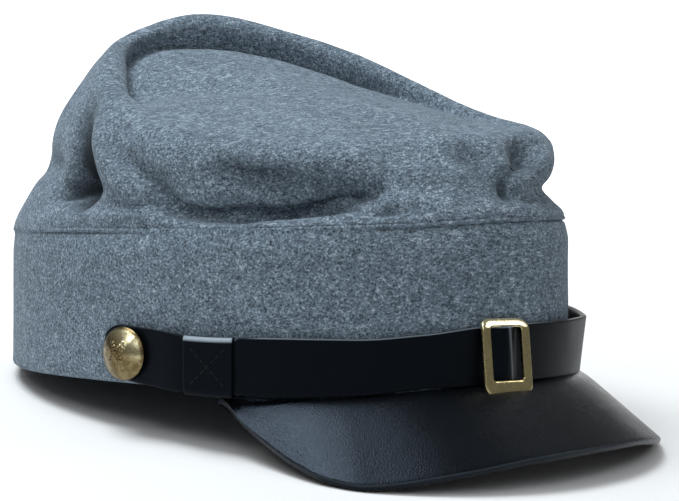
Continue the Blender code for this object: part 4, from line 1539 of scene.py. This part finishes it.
class KEPI_OT_buckle(Operator):
    """Builds the rectangular brass slide and the hidden bar that the strap rides over"""

    bl_idname = "kepi.buckle"
    bl_label = "Slide buckle"

    def execute(self, context):
        half = BUCKLE_WIDTH / 2
        inside = half - BUCKLE_SIDE_BAR
        window = BUCKLE_OPENING / 2
        top, foot = window + BUCKLE_TOP_BAR, -window - BUCKLE_BOTTOM_BAR
        outer = rounded_loop((-half, foot), (half, top), BUCKLE_CORNER, steps=9, straight=8)
        inner = rounded_loop((-inside, -window), (inside, window), 1.0 * MM, steps=9, straight=8)
        middle = (outer + inner) / 2
        across = (outer - inner) / 2
        out = BUCKLE_OFF + BUCKLE_PLATE / 2
        rings, wear = [], []
        for turn in np.radians(np.arange(BUCKLE_CELLS) * (360 // BUCKLE_CELLS)):
            wide, deep = (
                math.copysign(abs(part) ** square, part)
                for part, square in zip((math.cos(turn), math.sin(turn)), BUCKLE_SQUARE)
            )
            flat = middle + across * wide
            past = np.maximum(flat[:, 1:] - window + 0.4 * MM, 0)
            bent = BUCKLE_BENT * (np.hypot(past, BUCKLE_BEND_SOFT) - BUCKLE_BEND_SOFT)
            level = out + BUCKLE_PLATE / 2 * deep - bent
            rings.append(np.hstack([flat[:, :1], level, flat[:, 1:]]))
            # Painted highlight, partly real polish: the top bar takes the lighter metal colour.
            wear.append(np.clip(past[:, 0] / (1.2 * MM), 0, 1))
        matrix = fitting_place(BUCKLE_ANGLE, BUCKLE_HEIGHT, BUCKLE_LEAN, BUCKLE_TIP)
        grid = placed(np.stack(rings), matrix)
        buckle = ring_object("brass_slide", grid[::-1], {"wear": wear[::-1]})
        loops = []
        for height in np.linspace(foot + 1.2 * MM, top - 1.2 * MM, 12):
            section = rounded_loop(*BUCKLE_BAR, straight=2)
            loops.append(np.hstack([section, np.full((len(section), 1), height)]))
        bar = tube_object("brass_slide_bar", placed(np.stack(loops), matrix))
        dress(buckle, ["buckle"], brass_finish(context))
        dress(bar, [], brass_finish(context))
        return {"FINISHED"}


def sprig_relief(x, y):
    """Height of a plain ornament of two crossed sprigs at a place on the dome, all in metres."""
    height = np.zeros_like(x)
    cosine, sine = LEAF_TURN
    for lean in (SPRIG_LEAN, -SPRIG_LEAN):
        turn = math.radians(lean)
        along = x * math.sin(turn) + y * math.cos(turn)
        aside = x * math.cos(turn) - y * math.sin(turn)
        ends = np.clip(1 - np.abs(along / STEM_REACH) ** 6, 0, 1)
        stem = np.exp(-((aside / STEM_WIDTH) ** 2)) * ends
        height = np.maximum(height, STEM_HEIGHT * stem)
        for where in np.arange(LEAF_FROM, LEAF_TO, LEAF_STEP) * MM:
            for side in (-1, 1):
                past, out = along - where, aside - side * LEAF_ASIDE
                leaf_x = out * cosine + past * sine * side
                leaf_y = past * cosine - out * sine * side
                leaf = 1 - (leaf_x / LEAF_WIDTH) ** 2 - (leaf_y / LEAF_LENGTH) ** 2
                height = np.maximum(height, LEAF_HEIGHT * np.sqrt(np.clip(leaf, 0, 1)))
    return height


class KEPI_OT_buttons(Operator):
    """Builds the two domed side buttons, with a raised ornament and a turned edge"""

    bl_idname = "kepi.buttons"
    bl_label = "Buttons"

    def execute(self, context):
        turns = np.arange(BUTTON_COLUMNS) * 2 * math.pi / BUTTON_COLUMNS
        reach = np.sin(np.linspace(0.02, 1, 56) * math.pi / 2) * BUTTON_DOME
        share = (reach / BUTTON_DOME)[:, None]
        x = reach[:, None] * np.cos(turns)
        z = reach[:, None] * np.sin(turns)
        dome = DOME_EDGE + (DOME_TOP - DOME_EDGE) * (1 - share**2) + 0 * x
        dome = dome + sprig_relief(x, z) * np.clip((1 - share) * 6, 0, 1)
        rings = [np.stack([x, dome, z], axis=-1)]
        for row in BUTTON_ROWS:
            level = np.full_like(turns, row.height)
            ring = [np.cos(turns) * row.radius, level, np.sin(turns) * row.radius]
            rings.append(np.stack(ring, axis=-1)[None] * MM)
        grid = np.concatenate(rings)
        # Painted highlight on the dome's upper right, where a lamp would shine, and painted shade
        # mixed with patina on the rest of the dome and on the rim.
        highlight = np.clip((0.8 * grid[..., 2] - 0.6 * grid[..., 0]) / (4.5 * MM) - 0.25, 0, 1)
        round_rim = np.clip(np.hypot(grid[..., 0], grid[..., 2]) / (0.6 * MM) - 11.6, 0, 1)
        browned = 0.75 * np.maximum(1 - highlight, round_rim)
        marks = {"browned": browned, "wear": 0.6 * highlight * (1 - round_rim)}
        for name, angle in (("button_right", BUTTON_ANGLE), ("button_left", -BUTTON_ANGLE)):
            matrix = fitting_place(angle, steady(STRAP_ROWS, "height", np.array(float(angle))))
            button = tube_object("brass_" + name, placed(grid, matrix), sharp=50, marks=marks)
            dress(button, [name], brass_finish(context))
        return {"FINISHED"}


# --- stage ---------------------------------------------------------------------------------


def camera_matrix(turn, distance):
    """Where the camera stands, worked out in the upright cap's frame."""
    right = Vector((math.cos(turn), -math.sin(turn), 0))
    back = Vector((-math.sin(turn), -math.cos(turn), 0))
    aside = math.atan((PICTURE[0] / 2 - PICTURE_AXIS[0]) / PICTURE_FOCUS)
    down = math.atan((PICTURE[1] / 2 - PICTURE_AXIS[1]) / PICTURE_FOCUS)
    level = -back * math.cos(aside) + right * math.sin(aside)
    sight = level * math.cos(down) - Vector((0, 0, 1)) * math.sin(down)
    across = level.cross(Vector((0, 0, 1))).normalized()
    upwards = across.cross(sight).normalized()
    matrix = Matrix((across, upwards, -sight)).transposed().to_4x4()
    matrix.translation = back * distance + Vector((0, 0, CAMERA_HEIGHT))
    return REST @ matrix


def soft_box(name, location, target, size, power, colour=(1, 1, 1)):
    """An area light that looks at a point."""
    light = bpy.data.lights.new(name, "AREA")
    light.shape = "RECTANGLE"
    light.size, light.size_y = size
    light.energy = power
    light.color = colour
    obj = bpy.data.objects.new(name, light)
    bpy.context.scene.collection.objects.link(obj)
    obj.location = location
    sight = Vector(target) - Vector(location)
    obj.rotation_euler = sight.to_track_quat("-Z", "Y").to_euler()


class KEPI_OT_stage(Operator):
    """Sets the floor with its curved backdrop, the soft lights and the camera"""

    bl_idname = "kepi.stage"
    bl_label = "Floor, lights and camera"

    def execute(self, context):
        scene = context.scene
        settings = scene.kepi_stage
        self.add_floor(settings)
        world = bpy.data.worlds.new("plain room")
        world.use_nodes = True
        background = world.node_tree.nodes["Background"]
        background.inputs["Color"].default_value = (1, 1, 1, 1)
        background.inputs["Strength"].default_value = settings.sky
        scene.world = world
        front = Vector(facing(math.degrees(settings.camera_turn)))
        front = front * FRONT_BOX_OUT + Vector((0, 0, FRONT_BOX_UP))
        overhead = CAP_MIDDLE, (0.55, 0.55), settings.key_power
        over_camera = CAP_MIDDLE, (0.6, 0.6), settings.fill_power
        side = CAP_FRONT, (0.24, 0.24), settings.side_power
        backdrop = (1.7, 1.8, 0.3), (1.6, 0.8), settings.backdrop_power
        for box in (
            ("overhead box", (-0.25, 0.24, 0.94), *overhead, COOL),
            ("front box", front, *over_camera, COOL),
            ("small left box", (-0.69, -0.045, 0.62), *side),
            ("small right box", (0.58, -0.477, 0.6), *side),
            ("backdrop box", (0.8, 0.85, 1.5), *backdrop),
        ):
            soft_box(*box)
        camera = bpy.data.cameras.new("camera")
        camera.sensor_width = 36
        camera.lens = PICTURE_FOCUS / PICTURE[0] * camera.sensor_width
        camera.clip_start = 0.01
        stand = bpy.data.objects.new("camera", camera)
        scene.collection.objects.link(stand)
        stand.matrix_world = camera_matrix(settings.camera_turn, settings.camera_distance)
        scene.camera = stand
        scene.view_settings.view_transform = "Standard"
        return {"FINISHED"}

    def add_floor(self, settings):
        """A wide floor that rises behind the cap in one curve."""
        from_back = np.linspace(-180, 180, FLOOR_COLUMNS + 1)[:-1]
        turns = 180 + math.degrees(settings.camera_turn) + from_back
        full, each = FLOOR_BACK
        behind = np.clip(full - np.abs(from_back) / each, 0, 1)
        curve, edge = FLOOR_CURVE, FLOOR_RINGS[-1]
        rings = [(radius, 0) for radius in FLOOR_RINGS]
        rings += [
            (edge + curve * math.sin(turn), curve - curve * math.cos(turn))
            for turn in np.radians((20, 40, 60, 80, 90))
        ]
        rings.append((edge + curve, FLOOR_TOP))
        grid = np.stack([place(turns, np.full(FLOOR_COLUMNS, r), behind * z) for r, z in rings])
        mesh = bpy.data.meshes.new("floor")
        faces = grid_faces(*grid.shape[:2])[:, ::-1].tolist()
        faces.append(list(range(FLOOR_COLUMNS)))
        mesh.from_pydata(grid.reshape(-1, 3).tolist(), [], faces)
        mesh.shade_smooth()
        floor = bpy.data.objects.new("floor", mesh)
        bpy.context.scene.collection.objects.link(floor)
        floor.data.materials.append(pale_floor(settings))


# --- add-on --------------------------------------------------------------------------------


class KEPI_PT_panel(Panel):
    """Lists the kepi's settings and the pieces that can be built"""

    bl_idname = "KEPI_PT_panel"
    bl_label = "Kepi"
    bl_space_type = "VIEW_3D"
    bl_region_type = "UI"
    bl_category = "Kepi"

    def draw(self, context):
        layout = self.layout
        for group in (name for name, _ in SETTINGS):
            box = layout.box()
            settings = getattr(context.scene, group)
            for name in settings.__annotations__:
                box.prop(settings, name)
        column = layout.column(align=True)
        for operator in BUILD_ORDER:
            column.operator(operator.bl_idname)


SETTINGS = (
    ("kepi_wool", KepiWool),
    ("kepi_leather", KepiLeather),
    ("kepi_brass", KepiBrass),
    ("kepi_stage", KepiStage),
)
BUILD_ORDER = (
    KEPI_OT_band,
    KEPI_OT_crown,
    KEPI_OT_peak,
    KEPI_OT_strap,
    KEPI_OT_keeper,
    KEPI_OT_buckle,
    KEPI_OT_buttons,
    KEPI_OT_stage,
)
CLASSES = (*(group for _, group in SETTINGS), *BUILD_ORDER, KEPI_PT_panel)


def register():
    for cls in CLASSES:
        bpy.utils.register_class(cls)
    for name, group in SETTINGS:
        setattr(bpy.types.Scene, name, PointerProperty(type=group))


def unregister():
    for name, _ in SETTINGS:
        delattr(bpy.types.Scene, name)
    for cls in reversed(CLASSES):
        bpy.utils.unregister_class(cls)


def main():
    register()
    for operator in BUILD_ORDER:
        group, name = operator.bl_idname.split(".")
        getattr(getattr(bpy.ops, group), name)()
    bpy.context.view_layer.update()


if __name__ == "__main__":
    main()
